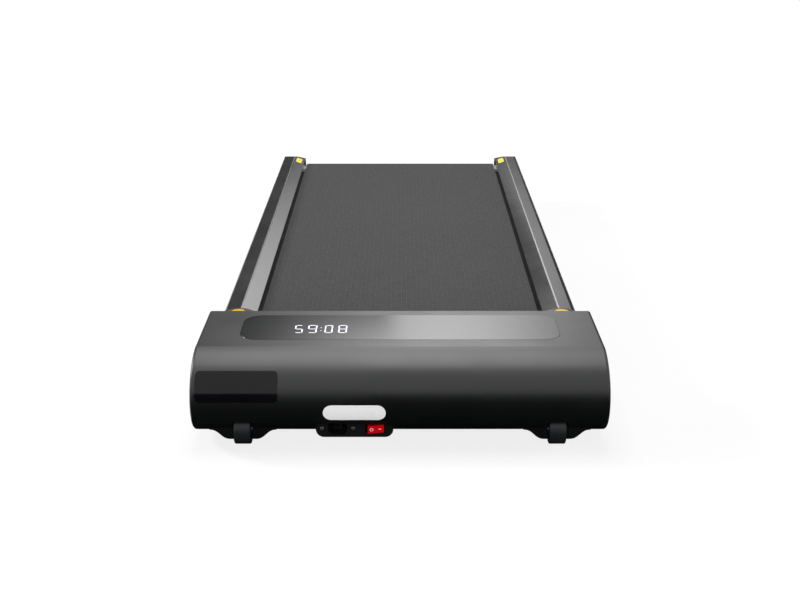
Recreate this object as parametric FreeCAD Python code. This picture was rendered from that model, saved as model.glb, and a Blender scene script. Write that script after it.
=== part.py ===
"""Flat walking-pad treadmill: motor hood at the front, walking belt between two side rails.

Frame: X across, Y along the belt, +Z up. The motor hood is at -Y. The origin is on the floor, at the
centre of the outline. Millimetres. "Right" is +X and "left" is -X. Each sub-part is one STEP file.
"""
import FreeCAD, Part
import math
import os

V = FreeCAD.Vector

# ---- driving sizes -----------------------------------------------------------------------------------
overall_length = 1232.0
belt_width = 400.0
belt_thick = 1.8
belt_top = 91.0            # height of the walking surface
roller_radius = 20.7
roller_wall = 3.2
deck_thick = 15.0
deck_bearing = 20.0        # deck edge beyond the side tube's inner wall
deck_screw_edge = 10.0     # deck screws inside that edge

hood_top = 117.5
hood_bottom = 13.5
hood_depth = 199.0         # nose to rear edge
hood_overhang = 15.0       # hood side beyond the rail, each side
hood_wall = 2.5
hood_edge_radius = 4.0
nose_height = 60.0         # height of the foremost line of the hood
nose_run_top = 73.0        # how far back the curve above that line reaches
nose_run_bottom = 46.0     # and the curve below it
crease_run = 9.0           # the flat top ends this far in front of the top curve's centre
belt_mouth = 4.5           # gap between the belt and the hood's rear wall

rail_width = 46.0
rail_top = 107.5
rail_inner_top = 99.9      # the inner facet slopes down to this height
rail_ridge = 22.0          # from the rail's inner wall to the ridge between its two facets
rail_ridge_radius = 8.0    # the ridge is rounded a little
rail_corner = 7.0
rail_wall = 2.0
rail_skirt = 36.0          # height of the outer skirt's lower edge
belt_side_gap = 4.0        # belt edge to the rail's inner wall

boss_proud = 0.5           # round cap that ends each rail at the hood, wider than the rail each side
boss_crown = 111.0
boss_crown_drop = 2.6
boss_from_hood = 14.0      # boss centre behind the hood's rear edge
plug_radius = 10.0
plug_proud = 1.2

rear_cap_length = 70.0
rear_cap_nose = 27.0       # length over which the cap's top curves down
rear_cap_shoulder = 82.0   # height where that curve meets the rear wall
rear_cap_wall = 2.5
insert_length = 36.0
insert_width = 12.0
insert_from_rear = 29.0

tube_inset = 8.0           # side tube inside the rail's inner wall
skirt_space = 2.0          # side plates to the rail's outer skirt
tube_height = 40.0
tube_wall = 2.0
plate_thick = 4.0
cushion_thick = 4.0
cushion_radius = 12.0
cross_tube_wall = 1.5
cross_tube_width = 30.0
cross_tube_clearance = 2.8     # above the belt's lower run
cross_tube_count = 4

axle_radius = 7.5
bearing_width = 11.0
roller_overlap = 3.0           # roller beyond the belt edge, each side
tension_travel = 8.0
tension_bolt_radius = 4.0
front_roller_from_hood = 38.0  # front roller's axis, inside the hood's rear edge

pulley_radius = 30.0
pulley_width = 22.0
motor_pulley_radius = 14.0
drive_belt_thick = 3.0
drive_belt_width = 15.0
drive_centres = 80.0
motor_radius = 38.0
motor_length = 148.0
motor_height = 66.0
motor_shaft_radius = 6.0
fan_radius = 33.0
fan_width = 20.0
tray_height = 20.0
tray_thick = 3.0

wheel_radius = 19.2
wheel_lift = 1.1               # the wheels touch the floor only when the treadmill is tipped onto them
wheel_width = 21.5
wheel_x = 201.0
wheel_from_nose = 22.6
wheel_side_gap = 1.5
wheel_well_gap = 3.5
wheel_axle_radius = 4.0
bump_bottom = 8.4
bump_top = 21.5
bump_half_bottom = 16.0
bump_half_top = 43.0
bump_from_nose = 17.0
bump_length = 39.0

lens_length = 424.0
lens_width = 94.0
lens_thick = 1.5
lens_radius = 25.0
lens_from_rear = 17.8
lens_proud = 0.3
window_x = -105.0
window_length = 86.0
window_width = 40.0

panel_x = -58.0
panel_width = 99.0
panel_bottom = 12.6
panel_top = 34.0
panel_wall = 2.5
panel_depth = 28.0
panel_from_nose = 14.0
inlet_x = -79.7
inlet_width = 24.0
inlet_height = 16.0
inlet_screw_spacing = 40.0
switch_x = -31.7
switch_z = 25.4
bezel_width = 31.0
bezel_height = 14.0
bezel_thick = 1.4
rocker_length = 21.6
rocker_height = 10.4
rocker_stand = 3.0             # mean height of the rocker's face over the bezel
rocker_tilt = 12.0             # degrees each side of the middle

foot_radius_bottom = 18.0
foot_radius_top = 15.0
screw_radius = 2.0

# ---- fits --------------------------------------------------------------------------------------------
seat_gap = 0.2                 # between parts that are assembled without force
run_gap = 0.05                 # radial, shaft in bearing
belt_gap = 0.3                 # radial, roller to the belt around it
moving_gap = 0.5               # between a moving piece and what it passes

# ---- places worked out from them ---------------------------------------------------------------------
nose_y = -overall_length / 2
rear_y = overall_length / 2
hood_rear_y = nose_y + hood_depth
belt_half = belt_width / 2
rail_in = belt_half + belt_side_gap
rail_out = rail_in + rail_width
rail_mid = (rail_in + rail_out) / 2
hood_half = rail_out + hood_overhang
belt_inner_radius = roller_radius + belt_gap
belt_outer_radius = belt_inner_radius + belt_thick
roller_z = belt_top - belt_outer_radius
front_roller_y = hood_rear_y - front_roller_from_hood
rear_roller_y = rear_y - belt_outer_radius - 0.7
deck_top = roller_z + belt_inner_radius - seat_gap
deck_bottom = deck_top - deck_thick
tube_top = deck_bottom - cushion_thick
tube_bottom = tube_top - tube_height
tube_in = rail_in + tube_inset
tube_out = rail_out - rail_wall - skirt_space - plate_thick
bracket_rear_y = rear_roller_y + 15.5
deck_front_y = hood_rear_y - 1.0
deck_rear_y = rear_roller_y - tension_travel - belt_outer_radius - 4.0
deck_half = tube_in + deck_bearing
tube_front_y = hood_rear_y + 2.0
tube_rear_y = rear_roller_y - tension_travel - axle_radius - 11.0
bracket_front_y = tube_rear_y - 34.0
bay_rear_y = tube_front_y + 85.0
plate_in = tube_out
plate_out = plate_in + plate_thick
boss_radius = rail_width / 2 + boss_proud
boss_y = hood_rear_y + boss_from_hood
boss_bottom = deck_top + seat_gap
rear_cap_y = rear_y - rear_cap_length
roller_half = belt_half + roller_overlap
motor_y = front_roller_y - drive_centres
tray_front_y = motor_y - 23.0
tray_rear_y = front_roller_y + 25.0
pulley_x0 = roller_half
pulley_mid = pulley_x0 + pulley_width / 2
motor_x1 = wheel_x - wheel_width / 2 - wheel_side_gap - hood_wall - 7.0
motor_x0 = motor_x1 - motor_length
cradle_xs = [motor_x0 + 22.0, motor_x1 - 40.0]
wheel_y = nose_y + wheel_from_nose
wheel_z = wheel_lift + wheel_radius
bump_front_y = nose_y + bump_from_nose
panel_y = nose_y + panel_from_nose
lens_rear_y = hood_rear_y - lens_from_rear
lens_front_y = lens_rear_y - lens_width
lens_mid_y = (lens_rear_y + lens_front_y) / 2
lens_top = hood_top + lens_proud


# ---- making shapes -----------------------------------------------------------------------------------
def box(x0, x1, y0, y1, z0, z1):
    return Part.makeBox(x1 - x0, y1 - y0, z1 - z0, V(x0, y0, z0))


def rod_x(x0, x1, y, z, r):
    return Part.makeCylinder(r, x1 - x0, V(x0, y, z), V(1, 0, 0))


def rod_y(y0, y1, x, z, r):
    return Part.makeCylinder(r, y1 - y0, V(x, y0, z), V(0, 1, 0))


def rod_z(z0, z1, x, y, r):
    return Part.makeCylinder(r, z1 - z0, V(x, y, z0), V(0, 0, 1))


def face_of(edges):
    """A plane face inside a closed run of edges or curves."""
    shapes = [e if isinstance(e, Part.Edge) else e.toShape() for e in edges]
    return Part.Face(Part.Wire(Part.__sortEdges__(shapes)))


def outline(points):
    """A plane face with straight sides through the points."""
    return Part.Face(Part.makePolygon([*points, points[0]]))


def prism_x(points, x0, x1):
    """Points are (y, z)."""
    return outline([V(x0, y, z) for y, z in points]).extrude(V(x1 - x0, 0, 0))


def prism_y(points, y0, y1):
    """Points are (x, z)."""
    return outline([V(x, y0, z) for x, z in points]).extrude(V(0, y1 - y0, 0))


def prism_z(points, z0, z1):
    """Points are (x, y)."""
    return outline([V(x, y, z0) for x, y in points]).extrude(V(0, 0, z1 - z0))


def rounded_plate(x0, x1, y0, y1, z0, z1, radius):
    """A plate with round corners in plan."""
    plate = box(x0, x1, y0, y1, z0, z1)
    corners = [e for e in plate.Edges if abs(e.tangentAt(e.FirstParameter).z) > 0.99]
    return plate.makeFillet(radius, corners)


def stadium_y(x_mid, width, z0, z1, y0, y1):
    """A bar along Y whose cross-section is a level stadium."""
    r = (z1 - z0) / 2
    x0, x1 = x_mid - width / 2 + r, x_mid + width / 2 - r
    z = (z0 + z1) / 2
    middle = box(x0, x1, y0, y1, z0, z1)
    return middle.fuse([rod_y(y0, y1, x0, z, r), rod_y(y0, y1, x1, z, r)]).removeSplitter()


def ring_x(x0, x1, y, z, outer, inner):
    return rod_x(x0, x1, y, z, outer).cut(rod_x(x0 - 1, x1 + 1, y, z, inner))


def belt_loop(x0, x1, ends, thick):
    """A closed belt of even thickness round two pulleys. Ends are (y, z, inner radius), small y first."""
    (ya, za, ra), (yb, zb, rb) = ends
    span = math.hypot(yb - ya, zb - za)
    lean = math.atan2(zb - za, yb - ya)
    wrap = math.asin((rb - ra) / span)

    def loop(extra):
        a, b = ra + extra, rb + extra
        up, down = lean + math.pi / 2 + wrap, lean - math.pi / 2 - wrap

        def at(y, z, r, angle):
            return V(x0, y + r * math.cos(angle), z + r * math.sin(angle))

        top_a, top_b = at(ya, za, a, up), at(yb, zb, b, up)
        low_a, low_b = at(ya, za, a, down), at(yb, zb, b, down)
        edges = [
            Part.LineSegment(top_a, top_b),
            Part.Arc(top_b, at(yb, zb, b, lean), low_b),
            Part.LineSegment(low_b, low_a),
            Part.Arc(low_a, at(ya, za, a, lean + math.pi), top_a),
        ]
        return face_of(edges)

    return loop(thick).extrude(V(x1 - x0, 0, 0)).cut(loop(0).extrude(V(x1 - x0, 0, 0)))


def mirrored(shape):
    return shape.mirror(V(0, 0, 0), V(1, 0, 0))


def both(shape):
    """The shape and its mirror image, as separate solids."""
    return Part.makeCompound([*shape.Solids, *mirrored(shape).Solids])


def group(shapes):
    return Part.makeCompound([s for shape in shapes for s in shape.Solids])


def spread(first, last, count):
    return [first + (last - first) * i / (count - 1) for i in range(count)]


# ---- hood --------------------------------------------------------------------------------------------
def hood_block(inset, half, low):
    """The hood's outside, taken in by inset: a flat top, and a nose of two elliptical curves."""
    run_top, run_bottom = nose_run_top - inset, nose_run_bottom - inset
    top, bottom = hood_top - inset, hood_bottom + inset
    rise = (top - nose_height) / math.sqrt(1 - (crease_run / run_top) ** 2)
    drop = nose_height - bottom
    y_top, y_bottom = nose_y + nose_run_top, nose_y + nose_run_bottom
    x = -half

    def arc(y, run, height, u0, u1):
        major, minor = V(x, y - run, nose_height), V(x, y, nose_height + height)
        centre = V(x, y, nose_height)
        if abs(height) <= run:
            return Part.ArcOfEllipse(Part.Ellipse(major, minor, centre), u0, u1)
        return Part.ArcOfEllipse(Part.Ellipse(minor, V(x, y + run, nose_height), centre),
                                 u0 - math.pi / 2, u1 - math.pi / 2)

    crease = math.acos(crease_run / run_top)
    upper = arc(y_top, run_top, rise, 0, crease).toShape()
    lower = arc(y_bottom, run_bottom, -drop, 0, math.pi / 2).toShape()
    start = V(x, y_top - crease_run, top)
    rear_top, rear_low = V(x, hood_rear_y - inset, top), V(x, hood_rear_y - inset, low)
    edges = [
        upper,
        Part.LineSegment(start, rear_top),
        Part.LineSegment(rear_top, rear_low),
        lower,
    ]
    if low < bottom:
        edges += [Part.LineSegment(rear_low, V(x, y_bottom, low)),
                  Part.LineSegment(V(x, y_bottom, low), V(x, y_bottom, bottom))]
    else:
        edges += [Part.LineSegment(rear_low, V(x, y_bottom, bottom))]
    return face_of(edges).extrude(V(2 * half, 0, 0))


def side_edges(solid, half):
    """Edges round the two flat sides of the hood, apart from the lower and rear lower ones."""
    found = []
    for e in solid.Edges:
        xs = [v.X for v in e.Vertexes]
        on_side = all(abs(abs(x) - half) < 1e-6 for x in xs) and abs(xs[0] - xs[-1]) < 1e-6
        middle = e.valueAt((e.FirstParameter + e.LastParameter) / 2)
        if on_side and middle.z > hood_bottom + 1:
            found.append(e)
    return found


def bump_outline(y):
    """Ogee outline of the wheel bump, as a face across Y."""
    x0, low, high, top = wheel_x, bump_bottom, bump_top, wheel_z + wheel_axle_radius + hood_wall

    def flank(side):
        half_low, half_high = side * bump_half_bottom, side * bump_half_top
        middle = (half_low + half_high) / 2
        curve = Part.BezierCurve()
        curve.setPoles([V(x0 + half_high, y, high), V(x0 + middle, y, high),
                        V(x0 + middle, y, low), V(x0 + half_low, y, low)])
        return curve

    corners = [V(x0 + bump_half_top, y, high), V(x0 + bump_half_top, y, top),
               V(x0 - bump_half_top, y, top), V(x0 - bump_half_top, y, high)]
    edges = [flank(1), flank(-1),
             Part.LineSegment(V(x0 - bump_half_bottom, y, low), V(x0 + bump_half_bottom, y, low))]
    edges += [Part.LineSegment(corners[i], corners[i + 1]) for i in range(3)]
    return face_of(edges)


def wheel_bump():
    """The moulded foot round one transport wheel, and the well the wheel turns in."""
    foot = bump_outline(bump_front_y).extrude(V(0, bump_length, 0))
    half = wheel_width / 2 + wheel_side_gap
    well_radius = wheel_radius + wheel_well_gap
    jacket_half, jacket_radius = half + hood_wall, well_radius + hood_wall
    jacket = rod_x(wheel_x - jacket_half, wheel_x + jacket_half, wheel_y, wheel_z, jacket_radius)
    rear = box(wheel_x - jacket_half, wheel_x + jacket_half, wheel_y, wheel_y + jacket_radius,
               hood_bottom, wheel_z)
    front_limit = hood_block(0, hood_half, hood_bottom)
    return foot.fuse([jacket.common(front_limit), rear])


def wheel_well():
    half = wheel_width / 2 + wheel_side_gap
    radius = wheel_radius + wheel_well_gap
    round_part = rod_x(wheel_x - half, wheel_x + half, wheel_y, wheel_z, radius)
    below = box(wheel_x - half, wheel_x + half, nose_y - 5, wheel_y + radius, -5, wheel_z)
    return round_part.fuse(below)


def wheel_axle(extra=0.0):
    reach = wheel_width / 2 + wheel_side_gap + 8.0
    return rod_x(wheel_x - reach - extra, wheel_x + reach + extra, wheel_y, wheel_z,
                 wheel_axle_radius + extra)


pan_screw_places = [(hood_half - 11.0, y) for y in (nose_y + 62.0, nose_y + 118.0, hood_rear_y - 24.0)]


def pan_posts():
    """Screw posts inside the hood, joined to its side walls."""
    posts = []
    for x, y in pan_screw_places:
        low, high = hood_bottom + hood_wall, hood_bottom + 44.0
        post = rod_z(low, high, x, y, 5.0).fuse(box(x, hood_half - 1.0, y - 1.5, y + 1.5, low, high))
        posts.append(post.cut(rod_z(low - 1, low + 22.0, x, y, screw_radius + run_gap)))
    return posts


def boss_notch(extra):
    """Room for one rail boss under the hood's rear edge."""
    return rod_z(belt_top, boss_crown + 3.0, rail_mid, boss_y, boss_radius + extra)


def motor_hood():
    outside = hood_block(0, hood_half, hood_bottom)
    outside = outside.makeFillet(hood_edge_radius, side_edges(outside, hood_half))
    hood = outside.cut(hood_block(hood_wall, hood_half - hood_wall, hood_bottom - 5))
    right = wheel_bump()
    right = right.fuse(pan_posts())
    hood = hood.fuse([right, mirrored(right)])
    mouth_half = rail_out + moving_gap
    mouth_front = hood_rear_y - hood_wall - 1
    mouth = box(-mouth_half, mouth_half, mouth_front, hood_rear_y + 1, -5, belt_top + belt_mouth)
    cuts = [mouth, wheel_well(), mirrored(wheel_well()), boss_notch(moving_gap),
            mirrored(boss_notch(moving_gap)), wheel_axle(run_gap), mirrored(wheel_axle(run_gap)),
            lens_plate(seat_gap), display_window(), panel_outside(seat_gap)]
    return hood.cut(cuts).removeSplitter()


def lens_plate(extra):
    half = lens_length / 2 + extra
    low = lens_top - lens_thick
    plate = rounded_plate(-half, half, lens_front_y - extra, lens_rear_y + extra, low,
                          lens_top + extra * 5, lens_radius + extra)
    return plate


def display_lens():
    lens = lens_plate(0)
    rim = [e for e in lens.Edges if all(abs(v.Z - lens_top) < 1e-6 for v in e.Vertexes)]
    return lens.makeChamfer(lens_proud, rim)


def display_window():
    """Opening in the hood under the lens, where the digits shine through."""
    half = window_length / 2
    return box(window_x - half, window_x + half, lens_mid_y - window_width / 2,
               lens_mid_y + window_width / 2, hood_top - hood_wall - 1, hood_top)


def display_module():
    """Circuit board with its block of digit tubes, hung under the window."""
    half_x, half_y = window_length / 2 - 1.0, window_width / 2 - 1.0
    board_top = hood_top - hood_wall - 0.1
    board_low = board_top - 1.6
    board = box(window_x - half_x - 9, window_x + half_x + 9, lens_mid_y - half_y - 4,
                lens_mid_y + half_y + 4, board_low, board_top)
    digits = box(window_x - half_x, window_x + half_x, lens_mid_y - half_y, lens_mid_y + half_y,
                 board_top, lens_top - lens_thick - seat_gap)
    return board.fuse(digits)


# ---- underside of the hood ---------------------------------------------------------------------------
def belly_pan():
    """Flat bottom cover with two banks of cooling slots."""
    half = hood_half - hood_wall - seat_gap
    front, rear = nose_y + nose_run_bottom + seat_gap, hood_rear_y - hood_wall - seat_gap
    low, high = hood_bottom, hood_bottom + hood_wall
    pan = box(-half, half, front, rear, low, high)
    slots = []
    for bank_x in (-150.0, 60.0):
        for i in range(9):
            x = bank_x + 11.0 * i
            slots.append(box(x, x + 5.0, front + 55.0, front + 95.0, low - 1, high + 1))
    holes = [rod_z(low - 1, high + 1, s * x, y, screw_radius + seat_gap)
             for s in (-1, 1) for x, y in pan_screw_places]
    foot = bump_outline(bump_front_y - 1).extrude(V(0, bump_length + 1 + seat_gap, 0))
    foot.translate(V(0, 0, -seat_gap))
    jacket_half = wheel_width / 2 + wheel_side_gap + hood_wall + seat_gap
    jacket = box(wheel_x - jacket_half, wheel_x + jacket_half, front - 1,
                 wheel_y + wheel_radius + wheel_well_gap + hood_wall + seat_gap, low - 1, high + 1)
    panel = panel_outside(seat_gap)
    return pan.cut([*slots, *holes, foot, mirrored(foot), jacket, mirrored(jacket), panel])


def belly_pan_screws():
    screws = []
    for x, y in pan_screw_places:
        head = rod_z(hood_bottom - 2.0, hood_bottom, x, y, 3.6)
        screws.append(head.fuse(rod_z(hood_bottom, hood_bottom + 18.0, x, y, screw_radius)))
    return both(group(screws))


# ---- mains inlet and power switch --------------------------------------------------------------------
def panel_outside(extra):
    return stadium_y(panel_x, panel_width + 2 * extra, panel_bottom - extra, panel_top + extra,
                     panel_y - 40 * extra, panel_y + panel_depth)


def inlet_hole(extra, y0, y1):
    """The mains socket's outline: a rectangle with its two lower corners cut off."""
    half, low = inlet_width / 2 + extra, panel_bottom + 2.8 - extra
    high = low + inlet_height + 2 * extra
    corner = 4.0
    points = [(inlet_x - half, high), (inlet_x + half, high), (inlet_x + half, low + corner),
              (inlet_x + half - corner, low), (inlet_x - half + corner, low),
              (inlet_x - half, low + corner)]
    return prism_y(points, y0, y1)


inlet_screw_z = (panel_bottom + panel_top) / 2 + 1.2
inlet_screw_x = [inlet_x - inlet_screw_spacing / 2, inlet_x + inlet_screw_spacing / 2]
bezel_body_half = bezel_width / 2 - 2.0
bezel_body_height = bezel_height - 2.2
opening_half = rocker_length / 2 + 1.8
opening_height = rocker_height + 2 * moving_gap
inlet_wall = 1.6


def power_panel():
    panel = panel_outside(0)
    hollow = stadium_y(panel_x, panel_width - 2 * panel_wall, panel_bottom + panel_wall,
                       panel_top - panel_wall, panel_y + panel_wall, panel_y + panel_depth + 1)
    half, tall = bezel_body_half + seat_gap, bezel_body_height / 2 + seat_gap
    cuts = [hollow, inlet_hole(inlet_wall + seat_gap, panel_y - 1, panel_y + panel_depth + 1),
            box(switch_x - half, switch_x + half, panel_y - 1, panel_y + panel_wall + 1,
                switch_z - tall, switch_z + tall)]
    cuts += [rod_y(panel_y - 1, panel_y + panel_wall + 1, x, inlet_screw_z, 1.5 + run_gap)
             for x in inlet_screw_x]
    return panel.cut(cuts).removeSplitter()


def power_inlet():
    """Recessed three-pin mains socket body."""
    body = inlet_hole(inlet_wall, panel_y + 0.6, panel_y + panel_depth - 4.0)
    recess = inlet_hole(0, panel_y, panel_y + panel_depth - 9.0)
    slots = [box(x - 1.0 - run_gap, x + 1.0 + run_gap, panel_y, panel_y + panel_depth,
                 z - 2.0 - run_gap, z + 2.0 + run_gap) for x, z in blade_places()]
    return body.cut([recess, *slots])


def blade_places():
    middle = panel_bottom + 2.8 + inlet_height / 2
    return [(inlet_x - 7.0, middle - 2.0), (inlet_x + 7.0, middle - 2.0), (inlet_x, middle + 2.5)]


def inlet_blades():
    y0, y1 = panel_y + 5.0, panel_y + panel_depth + 1.0
    return group([box(x - 1.0, x + 1.0, y0, y1, z - 2.0, z + 2.0) for x, z in blade_places()])


def inlet_screws():
    screws = []
    for x in inlet_screw_x:
        head = Part.makeCone(2.8, 1.6, 1.4, V(x, panel_y, inlet_screw_z), V(0, -1, 0))
        slot = box(x - 2.2, x + 2.2, panel_y - 1.5, panel_y - 0.8, inlet_screw_z - 0.3, inlet_screw_z + 0.3)
        screws.append(head.cut(slot).fuse(rod_y(panel_y, panel_y + 12.0, x, inlet_screw_z, 1.5)))
    return group(screws)


def switch_bezel():
    """Frame of the rocker switch, with the closed body behind it."""
    half, tall = bezel_width / 2, bezel_height / 2
    frame = box(switch_x - half, switch_x + half, panel_y - bezel_thick, panel_y, switch_z - tall,
                switch_z + tall)
    front = [e for e in frame.Edges if all(abs(v.Y - panel_y + bezel_thick) < 1e-6 for v in e.Vertexes)]
    frame = frame.makeChamfer(0.6, front)
    half, tall = bezel_body_half, bezel_body_height / 2
    depth = panel_depth - 5.0
    body = box(switch_x - half, switch_x + half, panel_y, panel_y + depth, switch_z - tall,
               switch_z + tall)
    hole = box(switch_x - opening_half, switch_x + opening_half, panel_y - bezel_thick - 1,
               panel_y + depth - 3.0, switch_z - opening_height / 2, switch_z + opening_height / 2)
    return frame.fuse(body).cut(hole)


rocker_pivot_y = panel_y - bezel_thick + 4.0


def power_rocker():
    """Rocker with slanted ends, resting with its right side pressed in."""
    half = rocker_length / 2
    face = panel_y - bezel_thick - rocker_stand
    back = rocker_pivot_y + 2.0
    points = [(switch_x - half + 0.8, face), (switch_x + half - 0.8, face),
              (switch_x + half, face + 3.0), (switch_x + half - 1.5, back - 1.0),
              (switch_x + 3.5, back + 5.0), (switch_x - 3.5, back + 5.0),
              (switch_x - half + 1.5, back - 1.0), (switch_x - half, face + 3.0)]
    low, high = switch_z - rocker_height / 2, switch_z + rocker_height / 2
    rocker = prism_z(points, low, high)
    rocker.rotate(V(switch_x, rocker_pivot_y, 0), V(0, 0, 1), rocker_tilt)
    return rocker


# ---- steel frame -------------------------------------------------------------------------------------
def spots_along(count, margin):
    return spread(bay_rear_y + margin, tube_rear_y - margin, count)


clip_ys = spots_along(4, 34.0)
cushion_ys = [y + 34.0 for y in clip_ys[:-1]] + [clip_ys[-1] - 34.0]
deck_screw_ys = [y + 62.0 for y in clip_ys[:-1]] + [clip_ys[-1] - 62.0]
foot_ys = [bay_rear_y + 24.0, tube_rear_y - 34.0]
rail_screw_z = tube_bottom + 18.0
deck_screw_x = deck_half - deck_screw_edge


def frame_tube():
    """Right-hand side member, a rectangular steel tube."""
    tube = box(tube_in, tube_out, tube_front_y, tube_rear_y, tube_bottom, tube_top)
    w = tube_wall
    tube = tube.cut(box(tube_in + w, tube_out - w, tube_front_y - 1, tube_rear_y + 1, tube_bottom + w,
                        tube_top - w))
    cuts = [rod_z(tube_top - w - 1, tube_top + 1, deck_screw_x, y, 3.0 + run_gap) for y in deck_screw_ys]
    cuts += [rod_z(tube_bottom - 1, tube_bottom + w + 1, rail_mid, y, 3.0 + run_gap) for y in foot_ys]
    cuts += [rod_x(tube_out - w - 1, tube_out + 1, y, rail_screw_z, screw_radius + run_gap) for y in clip_ys]
    return tube.cut(cuts)


def frame_cross_tubes():
    low = roller_z - belt_inner_radius + cross_tube_clearance
    w = cross_tube_wall
    tubes = []
    for y in spread(tube_front_y + 40.0, tube_rear_y - 52.0, cross_tube_count):
        y0, y1 = y - cross_tube_width / 2, y + cross_tube_width / 2
        tube = box(-tube_in, tube_in, y0, y1, low, tube_top)
        tubes.append(tube.cut(box(-tube_in - 1, tube_in + 1, y0 + w, y1 - w, low + w, tube_top - w)))
    return group(tubes)


def bay_plate():
    """Right-hand side plate of the motor bay, welded to the side tube."""
    top = tube_top + 16.0
    points = [(tray_front_y, tray_height), (tray_rear_y, tray_height), (bay_rear_y, tube_bottom),
              (bay_rear_y, tube_top - 6.0), (front_roller_y + 60.0, top), (tray_front_y + 24.0, top),
              (tray_front_y, top - 24.0)]
    plate = prism_x(points, plate_in, plate_out)
    return plate.cut(rod_x(plate_in - 1, plate_out + 1, front_roller_y, roller_z, axle_radius + run_gap))


def motor_tray():
    """Steel floor of the motor bay, with a tongue under the motor."""
    low, high = tray_height, tray_height + tray_thick
    tray = box(-plate_in, plate_in, tray_front_y, tray_rear_y, low, high)
    tongue = box(cradle_xs[0] - 14.0, cradle_xs[1] + 14.0, motor_y - motor_radius - 5.0, tray_front_y + 1,
                 low, high)
    slots = [box(x, x + 5.0, tray_front_y + 30.0, tray_front_y + 60.0, low - 1, high + 1)
             for x in [motor_x0 + 30.0 + 11.0 * i for i in range(9)]]
    return tray.fuse(tongue).cut(slots).removeSplitter()


# ---- motor -------------------------------------------------------------------------------------------
strap_width = 14.0
strap_thick = 2.0


def motor_cradle():
    """Two saddles that carry the motor on the tray."""
    saddles = []
    for x in cradle_xs:
        half = strap_width / 2 + 4.0
        saddle = box(x - half, x + half, motor_y - 21.0, motor_y + 21.0, tray_height + tray_thick,
                     motor_height - motor_radius + 8.0)
        saddles.append(saddle.cut(rod_x(x - half - 1, x + half + 1, motor_y, motor_height,
                                        motor_radius + 0.1)))
    return group(saddles)


def motor_straps():
    """Steel straps over the motor, with their feet on the tray."""
    straps = []
    inner, outer = motor_radius + 0.1, motor_radius + 0.1 + strap_thick
    low = tray_height + tray_thick
    for x in cradle_xs:
        x0, x1 = x - strap_width / 2, x + strap_width / 2
        hoop = rod_x(x0, x1, motor_y, motor_height, outer)
        hoop = hoop.fuse(box(x0, x1, motor_y - outer, motor_y + outer, low, motor_height))
        inside = rod_x(x0 - 1, x1 + 1, motor_y, motor_height, inner)
        inside = inside.fuse(box(x0 - 1, x1 + 1, motor_y - inner, motor_y + inner, low - 1, motor_height))
        straps.append(hoop.cut(inside))
    return group(straps)


def motor_body():
    """Steel can with two cast end bells and a bore for the shaft."""
    bell = 14.0
    can = rod_x(motor_x0 + bell, motor_x1 - bell, motor_y, motor_height, motor_radius)
    bells = [rod_x(motor_x0, motor_x0 + bell, motor_y, motor_height, motor_radius - 2.0),
             rod_x(motor_x1 - bell, motor_x1, motor_y, motor_height, motor_radius - 2.0)]
    bore = rod_x(motor_x0 - 1, motor_x1 + 1, motor_y, motor_height, motor_shaft_radius + run_gap)
    vents = []
    for i in range(8):
        angle = math.radians(45 * i + 22.5)
        y, z = motor_y + 24.0 * math.cos(angle), motor_height + 24.0 * math.sin(angle)
        vents.append(rod_x(motor_x0 - 1, motor_x0 + bell - 4.0, y, z, 4.5))
    return can.fuse(bells).cut([bore, *vents])


def motor_shaft():
    fan_end = motor_x0 - 2.0 - fan_width
    return rod_x(fan_end, pulley_x0 + pulley_width, motor_y, motor_height, motor_shaft_radius)


def grooved_pulley(x0, x1, y, z, radius, bore):
    """A pulley with vee grooves and a lip at each edge."""
    lip, groove, depth = 2.0, 2.6, 1.4
    count = int((x1 - x0 - 2 * lip) / groove)
    start = (x0 + x1) / 2 - count * groove / 2
    points = [(x0, bore), (x0, radius + 1.6), (x0 + lip, radius + 1.6), (x0 + lip, radius - 0.4),
              (start, radius - 0.4)]
    for i in range(count):
        points += [(start + (i + 0.5) * groove, radius - 0.4 - depth),
                   (start + (i + 1) * groove, radius - 0.4)]
    points += [(x1 - lip, radius - 0.4), (x1 - lip, radius + 1.6), (x1, radius + 1.6), (x1, bore)]
    section = outline([V(x, y, z + r) for x, r in points])
    return section.revolve(V(0, y, z), V(1, 0, 0), 360)


def motor_pulley():
    return grooved_pulley(pulley_x0 + 1.0, pulley_x0 + pulley_width - 1.0, motor_y, motor_height,
                          motor_pulley_radius, motor_shaft_radius)


def motor_fan():
    """Cooling fan and flywheel: a disc with straight blades on its outer side."""
    x1 = motor_x0 - 2.0
    x0 = x1 - fan_width
    disc = rod_x(x1 - 5.0, x1, motor_y, motor_height, fan_radius)
    hub = rod_x(x0, x1, motor_y, motor_height, 12.0)
    blade = box(x0 + 3.0, x1 - 4.0, motor_y - 1.0, motor_y + 1.0, motor_height + 10.0,
                motor_height + fan_radius - 1.0)
    blades = []
    for i in range(12):
        turned = blade.copy()
        turned.rotate(V(0, motor_y, motor_height), V(1, 0, 0), 30 * i)
        blades.append(turned)
    fan = disc.fuse([hub, *blades])
    return fan.cut(rod_x(x0 - 1, x1 + 1, motor_y, motor_height, motor_shaft_radius)).removeSplitter()


def drive_belt():
    half = drive_belt_width / 2
    ends = [(motor_y, motor_height, motor_pulley_radius + belt_gap),
            (front_roller_y, roller_z, pulley_radius + belt_gap)]
    return belt_loop(pulley_mid - half, pulley_mid + half, ends, drive_belt_thick)


# ---- rollers -----------------------------------------------------------------------------------------
bearing_outer = roller_radius - roller_wall


def roller_tube(y):
    return ring_x(-roller_half, roller_half, y, roller_z, roller_radius, bearing_outer)


def roller_bearings(y):
    x1 = roller_half - 2.0
    bearing = ring_x(x1 - bearing_width, x1, y, roller_z, bearing_outer, axle_radius + run_gap)
    return both(bearing)


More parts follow.
